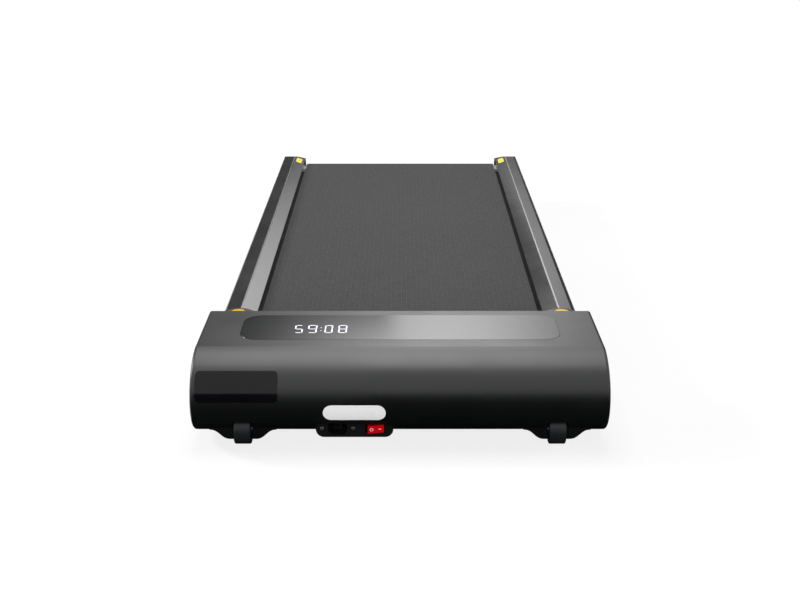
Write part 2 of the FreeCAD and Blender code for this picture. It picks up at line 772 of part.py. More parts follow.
def roller_pulley():
    """Large pulley on the end of the front roller."""
    return grooved_pulley(pulley_x0, pulley_x0 + pulley_width, front_roller_y, roller_z, pulley_radius,
                          axle_radius + 3.0)


def front_axle():
    axle = rod_x(-plate_out, plate_out, front_roller_y, roller_z, axle_radius)
    bore = rod_x(plate_out - 20.0, plate_out + 1, front_roller_y, roller_z, 4.0 + run_gap)
    return axle.cut([bore, mirrored(bore)])


def front_axle_bolts():
    x0 = plate_out
    corners = [(front_roller_y + 7.5 * math.cos(math.radians(60 * i)),
                roller_z + 7.5 * math.sin(math.radians(60 * i))) for i in range(6)]
    head = prism_x(corners, x0 + 1.6, x0 + 6.9)
    washer = rod_x(x0, x0 + 1.6, front_roller_y, roller_z, 9.0)
    return both(head.fuse([washer, rod_x(x0 - 18.0, x0 + 2, front_roller_y, roller_z, 4.0)]))


rear_axle_half = plate_out - 1.0


def rear_axle():
    """Fixed shaft of the rear roller, cross-drilled at each end for its tension bolt."""
    axle = rod_x(-rear_axle_half, rear_axle_half, rear_roller_y, roller_z, axle_radius)
    hole = rod_y(rear_roller_y - 20, rear_roller_y + 20, rail_mid, roller_z,
                 tension_bolt_radius + run_gap)
    return axle.cut([hole, mirrored(hole)])


def axle_bracket():
    """Right-hand steel yoke: two slotted cheeks on the side tube and the end plate the bolt pulls on."""
    front, step = bracket_front_y, deck_rear_y + 2.0
    top, low_top = roller_z + 16.0, tube_top
    cheek = [(front, tube_bottom), (bracket_rear_y, tube_bottom), (bracket_rear_y, top), (step, top),
             (step, low_top), (front, low_top)]
    inner = prism_x(cheek, tube_in - plate_thick, tube_in)
    outer = prism_x(cheek, tube_out, plate_out)
    end = box(tube_in, tube_out, bracket_rear_y - 5.0, bracket_rear_y, tube_bottom, top)
    slot_r = axle_radius + run_gap
    slot_front = rear_roller_y - tension_travel
    x0, x1 = tube_in - plate_thick - 1, plate_out + 1
    slot = rod_x(x0, x1, rear_roller_y, roller_z, slot_r)
    slot = slot.fuse(rod_x(x0, x1, slot_front, roller_z, slot_r))
    slot = slot.fuse(box(x0, x1, slot_front, rear_roller_y, roller_z - slot_r, roller_z + slot_r))
    bolt = rod_y(bracket_rear_y - 6, bracket_rear_y + 1, rail_mid, roller_z, tension_bolt_radius + run_gap)
    screw = rod_x(plate_in - 1, plate_out + 1, clip_ys[-1], rail_screw_z, screw_radius + seat_gap)
    return inner.fuse([outer, end]).cut([slot, bolt, screw]).removeSplitter()


def tension_bolt():
    """Socket-head bolt that draws the rear axle back. Its head bears on the bracket's end plate."""
    y0 = bracket_rear_y + 0.1
    tip = rear_roller_y - tension_travel - axle_radius - 4.0
    head = rod_y(y0, y0 + 4.4, rail_mid, roller_z, 6.5)
    hexagon = [(rail_mid + 2.9 * math.cos(math.radians(60 * i)),
                roller_z + 2.9 * math.sin(math.radians(60 * i))) for i in range(6)]
    socket = prism_y(hexagon, y0 + 1.4, y0 + 6.0)
    return head.fuse(rod_y(tip, y0, rail_mid, roller_z, tension_bolt_radius)).cut(socket)


# ---- deck and walking belt ---------------------------------------------------------------------------
def deck_board():
    deck = box(-deck_half, deck_half, deck_front_y, deck_rear_y, deck_bottom, deck_top)
    ends = [e for e in deck.Edges if abs(e.tangentAt(e.FirstParameter).x) > 0.99
            and e.CenterOfMass.z > deck_top - 1]
    deck = deck.makeFillet(5.0, ends)
    cuts = []
    for s in (-1, 1):
        for y in deck_screw_ys:
            cuts.append(rod_z(deck_bottom - 1, deck_top + 1, s * deck_screw_x, y, 3.0 + seat_gap))
            cuts.append(Part.makeCone(3.0, 6.4, 3.4, V(s * deck_screw_x, y, deck_top - 3.4), V(0, 0, 1)))
        cuts.append(rod_z(deck_bottom - 1, deck_top + 1, s * rail_mid, boss_y, 3.0 + run_gap))
    return deck.cut(cuts)


def deck_cushions():
    """Rubber pads between the side tubes and the deck."""
    pads = [rod_z(tube_top, deck_bottom, rail_mid, y, cushion_radius) for y in cushion_ys]
    return both(group(pads))


def deck_screws():
    screws = []
    for y in deck_screw_ys:
        head = Part.makeCone(3.0, 6.2, 3.2, V(deck_screw_x, y, deck_top - 3.3), V(0, 0, 1))
        socket = rod_z(deck_top - 1.8, deck_top + 1, deck_screw_x, y, 2.0)
        shank = rod_z(tube_top - 8.0, deck_top - 3.3, deck_screw_x, y, 3.0)
        screws.append(head.fuse(shank).cut(socket))
    return both(group(screws))


def walking_belt():
    ends = [(front_roller_y, roller_z, belt_inner_radius), (rear_roller_y, roller_z, belt_inner_radius)]
    return belt_loop(-belt_half, belt_half, ends, belt_thick)


def belt_guides():
    """Small nylon guides on the deck's edge that keep the belt off the rails near the rear."""
    y0, y1 = rear_cap_y - 18.0, rear_cap_y + 6.0
    x0, x1 = belt_half + 0.8, rail_in - 0.2
    foot_top = deck_top + 2.2
    guide = box(x0, x1, y0, y1, deck_top, deck_top + 6.0).fuse(box(x0, x1 + 2.5, y0, y1, deck_top, foot_top))
    return both(guide)


# ---- side rails --------------------------------------------------------------------------------------
def rail_section(y, inset):
    """Cross-section of the right rail's outside, taken in by inset, as a face across Y."""
    x0, x1, top = rail_in + inset, rail_out - inset, rail_top - inset
    ridge, radius = rail_in + rail_ridge, rail_corner - inset
    low = rail_skirt - (5.0 if inset else 0.0)
    mid = radius * math.sqrt(0.5)
    centre = V(x1 - radius, y, top - radius)
    corner, shoulder = V(ridge, y, top), V(x0, y, rail_inner_top - inset)
    slope = math.atan2(corner.z - shoulder.z, corner.x - shoulder.x)
    round_radius = rail_ridge_radius - inset
    reach = round_radius * math.tan(slope / 2)
    before = corner - V(reach * math.cos(slope), 0, reach * math.sin(slope))
    after = corner + V(reach, 0, 0)
    crown = after + V(-round_radius * math.sin(slope / 2), 0, -round_radius * (1 - math.cos(slope / 2)))
    edges = [
        Part.LineSegment(V(x0, y, low), shoulder),
        Part.LineSegment(shoulder, before),
        Part.Arc(before, crown, after),
        Part.LineSegment(after, V(x1 - radius, y, top)),
        Part.Arc(V(x1 - radius, y, top), centre + V(mid, 0, mid), V(x1, y, top - radius)),
        Part.LineSegment(V(x1, y, top - radius), V(x1, y, low)),
        Part.LineSegment(V(x1, y, low), V(x0, y, low)),
    ]
    return face_of(edges)


def rail_prism(y0, y1, inset):
    return rail_section(y0, inset).extrude(V(0, y1 - y0, 0))


inner_wall_low = deck_top + 2.5


def side_rail():
    """Right rail, an aluminium extrusion open underneath, hollowed round the boss at its front end."""
    y0, y1 = boss_y, rear_cap_y - seat_gap
    rail = rail_prism(y0, y1, 0).cut(rail_prism(y0 - 1, y1 + 1, rail_wall))
    cuts = [box(rail_in - 1, rail_in + rail_wall + 1, y0 - 1, y1 + 1, 0, inner_wall_low),
            rod_z(0, hood_top, rail_mid, boss_y, boss_radius + seat_gap)]
    cuts += [rod_x(rail_out - rail_wall - 1, rail_out + 1, y, rail_screw_z, screw_radius + seat_gap)
             for y in clip_ys]
    return rail.cut(cuts)


def rail_clips():
    """Moulded clips that hook over the side tube and hold the rail on."""
    g = rail_wall + seat_gap
    x0, x1 = rail_in + g + 0.5, rail_out - g
    low = tube_bottom + 8.0
    points = [(x0, boss_bottom), (x0, rail_inner_top - g - 0.9), (rail_in + rail_ridge, rail_top - g - 0.4),
              (x1 - rail_corner, rail_top - g - 0.4), (x1, rail_top - rail_corner - g), (x1, low),
              (plate_out + seat_gap, low), (plate_out + seat_gap, boss_bottom)]
    tab = [(tube_out, rail_screw_z - 7.0), (x1, rail_screw_z - 7.0), (x1, rail_screw_z + 7.0),
           (tube_out, rail_screw_z + 7.0)]
    clips = []
    for y in clip_ys:
        clip = prism_y(points, y - 12.0, y + 12.0)
        if y + 13.0 < bracket_front_y:
            clip = clip.fuse(prism_y(tab, y - 12.0, y + 12.0)).removeSplitter()
        clips.append(clip.cut(rod_x(tube_out - 1, rail_out + 1, y, rail_screw_z, screw_radius + seat_gap)))
    return both(group(clips))


def rail_screws():
    screws = []
    for y in clip_ys:
        head = rod_x(rail_out, rail_out + 2.2, y, rail_screw_z, 4.2)
        edge = [e for e in head.Edges if e.CenterOfMass.x > rail_out + 2.0 and len(e.Vertexes) == 1]
        head = head.makeFillet(1.2, edge)
        socket = rod_x(rail_out + 1.0, rail_out + 3.0, y, rail_screw_z, 1.4)
        shank = rod_x(tube_out - tube_wall - 3.0, rail_out, y, rail_screw_z, screw_radius)
        screws.append(head.fuse(shank).cut(socket))
    return both(group(screws))


def rail_boss():
    """Right-hand round end of the rail, with a low crown and a screw well under the plug."""
    rim = boss_crown - boss_crown_drop
    sphere_r = (boss_radius ** 2 + boss_crown_drop ** 2) / (2 * boss_crown_drop)
    boss = rod_z(boss_bottom, boss_crown, rail_mid, boss_y, boss_radius)
    ball = Part.makeSphere(sphere_r, V(rail_mid, boss_y, boss_crown - sphere_r))
    boss = boss.common(ball)
    edge = [e for e in boss.Edges if abs(e.CenterOfMass.z - rim) < 0.05 and len(e.Vertexes) == 1]
    if edge:
        boss = boss.makeFillet(1.2, edge)
    well = rod_z(boss_bottom + 4.0, boss_crown + 1, rail_mid, boss_y, plug_radius + run_gap)
    bolt = rod_z(boss_bottom - 1, boss_crown, rail_mid, boss_y, 3.0 + seat_gap)
    return boss.cut([well, bolt])


def boss_screws():
    head_low = boss_bottom + 4.0
    head = rod_z(head_low, head_low + 4.5, rail_mid, boss_y, 6.0)
    socket = rod_z(head_low + 2.0, head_low + 5.0, rail_mid, boss_y, 2.5)
    return both(head.fuse(rod_z(deck_bottom + 1.0, head_low, rail_mid, boss_y, 3.0)).cut(socket))


def boss_plug():
    """Round snap-in cover over the boss screw."""
    top = boss_crown + plug_proud
    plug = rod_z(boss_crown - 6.0, top, rail_mid, boss_y, plug_radius)
    edge = [e for e in plug.Edges if abs(e.CenterOfMass.z - top) < 0.05 and len(e.Vertexes) == 1]
    plug = plug.makeFillet(1.1, edge)
    return plug.cut(rod_z(boss_crown - 7.0, top - 2.0, rail_mid, boss_y, plug_radius - 2.0))


def cap_side(inset, x0, x1):
    """The rear cap's outline from the side: level top, a curve down to the rear wall, a lower round."""
    top, low, rear = rail_top - inset, rail_skirt + inset, rear_y - inset
    start, shoulder = rear_y - rear_cap_nose, rear_cap_shoulder
    front = rear_cap_y - (1.0 if inset else 0.0)
    lower = 9.0
    if inset:
        low = rail_skirt - 5.0
    curve = Part.BezierCurve()
    curve.setPoles([V(x0, start, top), V(x0, rear - 9.0, top), V(x0, rear, shoulder + 9.0),
                    V(x0, rear, shoulder)])
    points = [V(x0, rear, shoulder), V(x0, rear, low + lower), V(x0, rear - lower, low),
              V(x0, front, low), V(x0, front, top), V(x0, start, top)]
    edges = [curve] + [Part.LineSegment(points[i], points[i + 1]) for i in range(5)]
    return face_of(edges).extrude(V(x1 - x0, 0, 0))


def insert_pad(extra, dimple_depth):
    """The insert's block, level with the inner facet's slope, with a round dimple in its face."""
    rise = rail_top - rail_inner_top
    mid = math.hypot(rise, rail_ridge) / 2
    half = insert_width / 2 + extra
    y1 = rear_y - insert_from_rear + extra
    y0 = y1 - insert_length - 2 * extra
    top = 0.25 + 3 * extra
    pad = box(mid - half, mid + half, y0, y1, -1.2, top)
    if dimple_depth:
        pad = pad.cut(rod_z(top - dimple_depth, top + 1, mid, (y0 + y1) / 2, 1.5))
    pad.rotate(V(0, 0, 0), V(0, 1, 0), -math.degrees(math.atan2(rise, rail_ridge)))
    pad.translate(V(rail_in, 0, rail_inner_top))
    return pad


def rear_cap():
    """Right-hand moulded end cap over the rear axle's bracket."""
    w = rear_cap_wall
    outer = rail_prism(rear_cap_y, rear_y + 1, 0).common(cap_side(0, rail_in - 1, rail_out + 1))
    inner = rail_prism(rear_cap_y - 1, rear_y + 1, w).common(cap_side(w, rail_in - 1, rail_out + 1))
    cap = outer.cut(inner)
    slot_r = axle_radius + 1.3
    slot_front = rear_cap_y - 1
    axle_slot = box(rail_in - 1, rail_in + w + 1, slot_front, rear_roller_y, roller_z - slot_r,
                    roller_z + slot_r)
    axle_slot = axle_slot.fuse(rod_x(rail_in - 1, rail_in + w + 1, rear_roller_y, roller_z, slot_r))
    key_hole = rod_y(rear_y - 2 * w, rear_y + 1, rail_mid, roller_z, 6.0)
    deck_room = box(rail_in - 1, rail_in + w + 1, rear_cap_y - 1, deck_rear_y + 3.0, 0, inner_wall_low)
    return cap.cut([axle_slot, key_hole, deck_room, insert_pad(run_gap, 0)]).removeSplitter()


# ---- wheels and feet ---------------------------------------------------------------------------------
def transport_wheel():
    half = wheel_width / 2
    wheel = rod_x(wheel_x - half, wheel_x + half, wheel_y, wheel_z, wheel_radius)
    wheel = wheel.makeFillet(2.0, [e for e in wheel.Edges if len(e.Vertexes) == 1])
    dishes = [ring_x(wheel_x + s * half - 3.0, wheel_x + s * half + 3.0, wheel_y, wheel_z,
                     wheel_radius - 5.0, wheel_axle_radius + 4.0) for s in (-1, 1)]
    bore = rod_x(wheel_x - half - 1, wheel_x + half + 1, wheel_y, wheel_z,
                 wheel_axle_radius + run_gap)
    return wheel.cut([*dishes, bore])


def rubber_feet():
    feet = []
    for y in foot_ys:
        foot = Part.makeCone(foot_radius_bottom, foot_radius_top, tube_bottom,
                             V(rail_mid, y, 0), V(0, 0, 1))
        well = rod_z(-1, tube_bottom - 8.0, rail_mid, y, 6.0)
        feet.append(foot.cut([well, rod_z(0, tube_bottom + 1, rail_mid, y, 3.0 + seat_gap)]))
    return both(group(feet))


def foot_screws():
    screws = []
    for y in foot_ys:
        head = rod_z(tube_bottom - 12.0, tube_bottom - 8.0, rail_mid, y, 5.2)
        screws.append(head.fuse(rod_z(tube_bottom - 8.0, tube_bottom + 10.0, rail_mid, y, 3.0)))
    return both(group(screws))


# ---- electronics -------------------------------------------------------------------------------------
board_x0, board_x1 = -plate_in + 16.0, -64.0
board_y0, board_y1 = tray_front_y + 3.0, front_roller_y - belt_outer_radius - 10.0
board_z = tray_height + tray_thick + 6.0


def control_board():
    """Motor control board on four posts, with its capacitors, coils and terminal blocks."""
    board = box(board_x0, board_x1, board_y0, board_y1, board_z, board_z + 1.6)
    posts = [rod_z(tray_height + tray_thick, board_z, x, y, 3.0)
             for x in (board_x0 + 6, board_x1 - 6) for y in (board_y0 + 6, board_y1 - 6)]
    top = board_z + 1.6
    middle = (board_y0 + board_y1) / 2
    capacitors = [rod_z(top, top + 30.0, board_x1 - 30.0 - 20.0 * i, middle - 6.0, 8.5) for i in range(3)]
    coil = box(board_x0 + 60, board_x0 + 84, middle - 18, middle + 8, top, top + 22.0)
    terminals = box(-92.0, -66.0, board_y0, board_y0 + 9.0, top, top + 11.0)
    plugs = box(board_x1 - 14.0, board_x1, board_y1 - 14.0, board_y1, top, top + 9.0)
    return board.fuse([*posts, *capacitors, coil, terminals, plugs])


def control_heatsink():
    """Finned aluminium heat sink at the board's outer end."""
    x0, x1 = board_x0 + 4.0, board_x0 + 52.0
    y0, y1 = board_y0 + 14.0, board_y1 - 14.0
    low = board_z + 1.6
    base = box(x0, x1, y0, y1, low, low + 5.0)
    fins = [box(x, x + 1.6, y0, y1, low + 4.0, low + 34.0) for x in spread(x0, x1 - 1.6, 9)]
    return base.fuse(fins)


def round_lead(points, radius, bend):
    """A lead along straight runs joined by arcs."""
    edges, last = [], points[0]
    for before, corner, after in zip(points, points[1:], points[2:]):
        a = corner + (before - corner).normalize() * bend
        b = corner + (after - corner).normalize() * bend
        middle = corner + ((a - corner) + (b - corner)) * (1 - math.sqrt(0.5))
        edges.append(Part.LineSegment(last, a).toShape())
        edges.append(Part.Arc(a, middle, b).toShape())
        last = b
    edges.append(Part.LineSegment(last, points[-1]).toShape())
    path = Part.Wire(edges)
    direction = (points[1] - points[0]).normalize()
    circle = Part.Wire([Part.Circle(points[0], direction, radius).toShape()])
    return path.makePipeShell([circle], True, False)


def mains_lead(x, z, terminal_z):
    """One lead from a mains blade up to its terminal on the board."""
    start = V(x, panel_y + panel_depth, z)
    run = V(x, board_y0 + 1, terminal_z) - start
    lead = Part.makeCylinder(1.3, run.Length, start, run)
    behind = box(x - 5, x + 5, start.y - 5, start.y + 1, z - 5, z + 5)
    beyond = box(x - 5, x + 5, board_y0, board_y0 + 5, terminal_z - 5, terminal_z + 5)
    return lead.cut([behind, beyond])


def wiring_loom():
    """Leads inside the bay: mains to the board, board to the motor, board to the display."""
    top = board_z + 1.6
    mains = [mains_lead(x, z, top + 5.5) for x, z in blade_places()]
    run_y = board_y1 - 7.0
    lead_x, lead_z = motor_x0 + 8.0, top + 4.5
    motor = round_lead([V(lead_x, motor_y + 12.0, lead_z), V(lead_x, run_y, lead_z),
                        V(board_x1, run_y, lead_z)], 2.5, 8.0)
    motor = motor.cut(rod_x(motor_x0, motor_x1, motor_y, motor_height, motor_radius - 2.0))
    module_low = hood_top - hood_wall - 0.1 - 1.6
    ribbon = box(window_x - 48.0, window_x - 36.0, lens_mid_y - 4.0, lens_mid_y - 3.0, top, module_low)
    return group([*mains, motor, ribbon])


# ---- the list of sub-parts ---------------------------------------------------------------------------
def sub_parts():
    tube, plate, rail = frame_tube(), bay_plate(), side_rail()
    boss, cap = rail_boss(), rear_cap()
    bracket, bolt, wheel = axle_bracket(), tension_bolt(), transport_wheel()
    parts = {
        "motor_hood": motor_hood(),
        "display_lens": display_lens(),
        "display_module": display_module(),
        "belly_pan": belly_pan(),
        "belly_pan_screws": belly_pan_screws(),
        "power_panel": power_panel(),
        "power_inlet": power_inlet(),
        "inlet_blades": inlet_blades(),
        "inlet_screws": inlet_screws(),
        "switch_bezel": switch_bezel(),
        "power_rocker": power_rocker(),
        "frame_cross_tubes": frame_cross_tubes(),
        "motor_tray": motor_tray(),
        "motor_cradle": motor_cradle(),
        "motor_straps": motor_straps(),
        "motor_body": motor_body(),
        "motor_shaft": motor_shaft(),
        "motor_pulley": motor_pulley(),
        "motor_fan": motor_fan(),
        "drive_belt": drive_belt(),
        "front_axle": front_axle(),
        "front_axle_bolts": front_axle_bolts(),
        "front_roller": roller_tube(front_roller_y),
        "front_bearings": roller_bearings(front_roller_y),
        "roller_pulley": roller_pulley(),
        "rear_axle": rear_axle(),
        "rear_roller": roller_tube(rear_roller_y),
        "rear_bearings": roller_bearings(rear_roller_y),
        "deck_board": deck_board(),
        "deck_cushions": deck_cushions(),
        "deck_screws": deck_screws(),
        "walking_belt": walking_belt(),
        "belt_guides": belt_guides(),
        "rail_clips": rail_clips(),
        "rail_screws": rail_screws(),
        "boss_screws": boss_screws(),
        "boss_plugs": both(boss_plug()),
        "rear_inserts": both(insert_pad(0, 0.5)),
        "wheel_axles": both(wheel_axle()),
        "rubber_feet": rubber_feet(),
        "foot_screws": foot_screws(),
        "control_board": control_board(),
        "control_heatsink": control_heatsink(),
        "wiring_loom": wiring_loom(),
    }
    pairs = {"frame_tube": tube, "bay_plate": plate, "side_rail": rail, "rail_boss": boss,
             "rear_cap": cap, "axle_bracket": bracket, "tension_bolt": bolt, "transport_wheel": wheel}
    for name, shape in pairs.items():
        parts[name + "_right"] = shape
        parts[name + "_left"] = mirrored(shape)
    return parts


def main():
    os.makedirs("parts", exist_ok=True)
    for name, shape in sub_parts().items():
        solids = shape.Solids
        bad = [s for s in solids if not s.isValid() or s.Volume <= 0]
        if bad or not solids:
            raise ValueError(f"{name}: {len(solids)} solids, {len(bad)} of them not sound")
        keep = solids[0] if len(solids) == 1 else Part.makeCompound(solids)
        keep.exportStep(os.path.join("parts", name + ".step"))
        print(name, len(solids), round(sum(s.Volume for s in solids) / 1000, 1))


main()
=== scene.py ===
import bpy
import bmesh
import math
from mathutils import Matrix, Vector
from mathutils.bvhtree import BVHTree


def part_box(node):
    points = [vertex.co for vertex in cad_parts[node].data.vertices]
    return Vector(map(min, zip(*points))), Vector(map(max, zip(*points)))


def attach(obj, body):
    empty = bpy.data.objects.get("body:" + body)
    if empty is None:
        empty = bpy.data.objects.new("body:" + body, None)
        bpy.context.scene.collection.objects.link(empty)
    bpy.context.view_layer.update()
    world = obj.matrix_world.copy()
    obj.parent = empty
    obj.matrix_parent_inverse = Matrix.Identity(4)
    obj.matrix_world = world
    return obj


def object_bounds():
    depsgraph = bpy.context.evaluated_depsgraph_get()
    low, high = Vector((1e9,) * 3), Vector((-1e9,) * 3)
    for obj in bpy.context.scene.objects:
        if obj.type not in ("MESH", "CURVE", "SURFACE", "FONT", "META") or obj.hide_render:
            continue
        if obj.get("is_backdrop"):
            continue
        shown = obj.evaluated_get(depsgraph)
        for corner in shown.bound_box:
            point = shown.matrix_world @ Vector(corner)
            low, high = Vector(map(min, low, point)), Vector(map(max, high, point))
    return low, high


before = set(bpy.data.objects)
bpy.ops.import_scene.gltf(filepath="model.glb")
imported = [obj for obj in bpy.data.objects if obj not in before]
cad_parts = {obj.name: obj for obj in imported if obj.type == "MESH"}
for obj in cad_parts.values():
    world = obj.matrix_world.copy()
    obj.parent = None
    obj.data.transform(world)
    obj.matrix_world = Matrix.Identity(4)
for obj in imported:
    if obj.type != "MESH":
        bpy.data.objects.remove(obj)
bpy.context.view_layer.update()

mm = 0.001


# ---- Welded frame ------------------------------------------------------------------------------------
# Side tubes, cross tubes, bay plates, tray and axle brackets: mild steel, cut, welded and powder coated
# black in one go. The coat flows into a faint orange peel about a millimetre across.
def colour(code):
    """An sRGB hex colour as the linear values that a shader takes."""
    parts = [int(code[i:i + 2], 16) / 255 for i in (1, 3, 5)]
    return [c / 12.92 if c <= 0.04045 else ((c + 0.055) / 1.055) ** 2.4 for c in parts] + [1.0]


def add(material, kind, inputs, **settings):
    """Adds a node: links each input that is a socket, and sets each that is a value or a hex colour."""
    node = material.node_tree.nodes.new("ShaderNode" + kind)
    for name, value in settings.items():
        setattr(node, name, value)
    for name, value in inputs.items():
        if isinstance(value, bpy.types.NodeSocket):
            material.node_tree.links.new(value, node.inputs[name])
        else:
            node.inputs[name].default_value = colour(value) if isinstance(value, str) else value
    return node


def finish(name, **inputs):
    """A new material: its principled shader, and the place on the piece in metres."""
    material = bpy.data.materials.new(name)
    material.use_nodes = True
    shader = material.node_tree.nodes["Principled BSDF"]
    for title, value in inputs.items():
        socket = shader.inputs[title.replace("_", " ")]
        socket.default_value = colour(value) if isinstance(value, str) else value
    return material, shader, add(material, "TexCoord", {}).outputs["Object"]


def feed(material, shader, **outputs):
    """Links outputs into the principled shader's sockets."""
    for title, output in outputs.items():
        material.node_tree.links.new(output, shader.inputs[title.replace("_", " ")])


# A Mix node's two colour inputs, and its colour output.
first, second, mixed = 6, 7, 2


def grained(material, shader, place, size, colours, gloss, depth):
    """The uneven colour, gloss and height of a surface with one size of grain, in metres."""
    grain = add(material, "TexNoise", {"Vector": place, "Scale": 1 / size, "Detail": 3.0}).outputs["Fac"]
    cloud = add(material, "TexNoise", {"Vector": place, "Scale": 14.0, "Detail": 2.0}).outputs["Fac"]
    both = add(material, "Math", {0: grain, 1: cloud}, operation="MULTIPLY").outputs[0]
    spread = add(material, "MapRange", {"Value": both, "From Min": 0.1, "From Max": 0.4}).outputs[0]
    rough = add(material, "MapRange", {"Value": cloud, "From Min": 0.3, "From Max": 0.7,
                                       "To Min": gloss[0], "To Max": gloss[1]}).outputs[0]
    bump = add(material, "Bump", {"Height": grain, "Distance": depth}).outputs[0]
    tint = add(material, "Mix", {0: spread, first: colours[0], second: colours[1]},
               data_type="RGBA").outputs[mixed]
    feed(material, shader, Base_Color=tint, Roughness=rough, Normal=bump)
    return tint


def put_on(material, *nodes):
    """Gives CAD pieces their material."""
    for name in nodes:
        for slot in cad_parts[name].material_slots:
            slot.material = material


powder_coat, shader, place = finish("powder_coated_steel", Specular_IOR_Level=0.4)
grained(powder_coat, shader, place, 1.2 * mm, ("#131416", "#1d1e20"), (0.42, 0.55), 0.06 * mm)
put_on(powder_coat, "frame_tube_left", "frame_tube_right", "frame_cross_tubes", "bay_plate_left",
       "bay_plate_right", "motor_tray", "axle_bracket_left", "axle_bracket_right")


# ---- Feet, cushions and screws -----------------------------------------------------------------------
# Four moulded rubber feet under the side tubes and eight rubber pads under the deck. Moulded rubber is
# nearly matt, with a dusty bloom.
rubber, shader, place = finish("moulded_rubber", Specular_IOR_Level=0.25)
grained(rubber, shader, place, 1.6 * mm, ("#111111", "#1f1f1e"), (0.72, 0.88), 0.08 * mm)
put_on(rubber, "rubber_feet", "deck_cushions")

# Foot and rail end screws, bolts, wheel pins and the motor's cradles and straps are zinc plated and
# passivated: bright grey with cloudy patches.
zinc, shader, place = finish("zinc_plated_steel", Metallic=1.0)
grained(zinc, shader, place, 0.9 * mm, ("#8d9196", "#c6c9cc"), (0.28, 0.42), 0.02 * mm)
put_on(zinc, "foot_screws", "boss_screws", "wheel_axles", "motor_cradle", "motor_straps",
       "front_axle_bolts", "tension_bolt_left", "tension_bolt_right")

# Cover, rail and deck screws are blackened: a thin black oxide that keeps a dull metal glint.
oxide, shader, place = finish("black_oxide_steel", Metallic=0.7)
grained(oxide, shader, place, 0.8 * mm, ("#1b1b1c", "#333335"), (0.38, 0.52), 0.02 * mm)
put_on(oxide, "belly_pan_screws", "rail_screws", "deck_screws")


# ---- Axles, rollers and bearings ---------------------------------------------------------------------
# Steel tube and bar, turned and ground: fine rings round the axis, bright, with a trace of oil. Tool marks
# of 0.1 mm are drawn 0.8 mm wide to show.
ring_width = 0.8 * mm
bands = 6.28    # a Wave texture at Scale 1 draws about this many light or dark bands in a metre
ground, shader, place = finish("ground_steel", Metallic=1.0)
rings = add(ground, "TexWave", {"Vector": place, "Scale": 1 / (bands * ring_width), "Distortion": 1.5,
                                "Detail": 2.0}, bands_direction="X").outputs["Fac"]
cloud = add(ground, "TexNoise", {"Vector": place, "Scale": 40.0}).outputs["Fac"]
tint = add(ground, "Mix", {0: cloud, first: "#64676a", second: "#8e9194"}, data_type="RGBA").outputs[mixed]
rough = add(ground, "MapRange", {"Value": cloud, "To Min": 0.2, "To Max": 0.42}).outputs[0]
bump = add(ground, "Bump", {"Height": rings, "Distance": 0.01 * mm}).outputs[0]
feed(ground, shader, Base_Color=tint, Roughness=rough, Normal=bump)
put_on(ground, "front_axle", "rear_axle", "front_roller", "rear_roller", "motor_shaft")

# Each bearing shows bright ground rings with a black rubber seal between them.
seal_radius, seal_half_width = 12.4 * mm, 2.4 * mm
for node in ("front_bearings", "rear_bearings"):
    low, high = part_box(node)
    sealed, shader, place = finish(node.replace("bearings", "sealed_bearing_steel"))
    axis = [0.0, *((low + high) / 2)[1:]]
    flat = add(sealed, "VectorMath", {0: place, 1: (0.0, 1.0, 1.0)}, operation="MULTIPLY").outputs[0]
    radius = add(sealed, "VectorMath", {0: flat, 1: axis}, operation="DISTANCE").outputs["Value"]
    seal = add(sealed, "Math", {0: radius, 1: seal_radius, 2: seal_half_width},
               operation="COMPARE").outputs[0]
    cloud = add(sealed, "TexNoise", {"Vector": place, "Scale": 300.0}).outputs["Fac"]
    steel = add(sealed, "Mix", {0: cloud, first: "#6e7174", second: "#989b9e"},
                data_type="RGBA").outputs[mixed]
    tint = add(sealed, "Mix", {0: seal, first: steel, second: "#18181a"}, data_type="RGBA").outputs[mixed]
    metal = add(sealed, "Math", {0: 1.0, 1: seal}, operation="SUBTRACT").outputs[0]
    rough = add(sealed, "MapRange", {"Value": seal, "To Min": 0.25, "To Max": 0.7}).outputs[0]
    feed(sealed, shader, Base_Color=tint, Metallic=metal, Roughness=rough)
    put_on(sealed, node)


# ---- Deck --------------------------------------------------------------------------------------------
# Fibreboard pressed between black phenolic sheets, sawn to size: nearly black and waxed dull on its faces,
# with the brown fibre showing on the sawn edges.
board, shader, place = finish("phenolic_faced_fibreboard", Specular_IOR_Level=0.1)
sheet_tint = grained(board, shader, place, 1.5 * mm, ("#0e0e0e", "#181717"), (0.65, 0.8), 0.04 * mm)
fibre = add(board, "TexNoise", {"Vector": place, "Scale": 900.0, "Detail": 4.0}).outputs["Fac"]
sawn = add(board, "Mix", {0: fibre, first: "#4d3a26", second: "#7a603f"}, data_type="RGBA").outputs[mixed]
up = add(board, "SeparateXYZ", {0: add(board, "NewGeometry", {}).outputs["True Normal"]}).outputs[2]
level = add(board, "Math", {0: up}, operation="ABSOLUTE").outputs[0]
face = add(board, "Math", {0: level, 1: 0.8}, operation="GREATER_THAN").outputs[0]
tint = add(board, "Mix", {0: face, first: sawn, second: sheet_tint}, data_type="RGBA").outputs[mixed]
feed(board, shader, Base_Color=tint)
put_on(board, "deck_board")

# Nylon guides at the deck's edge keep the belt off the rails: light grey, slightly waxy.
nylon, shader, place = finish("grey_nylon", Specular_IOR_Level=0.5)
grained(nylon, shader, place, 1.5 * mm, ("#8c8d8b", "#a6a7a5"), (0.38, 0.5), 0.03 * mm)
put_on(nylon, "belt_guides")


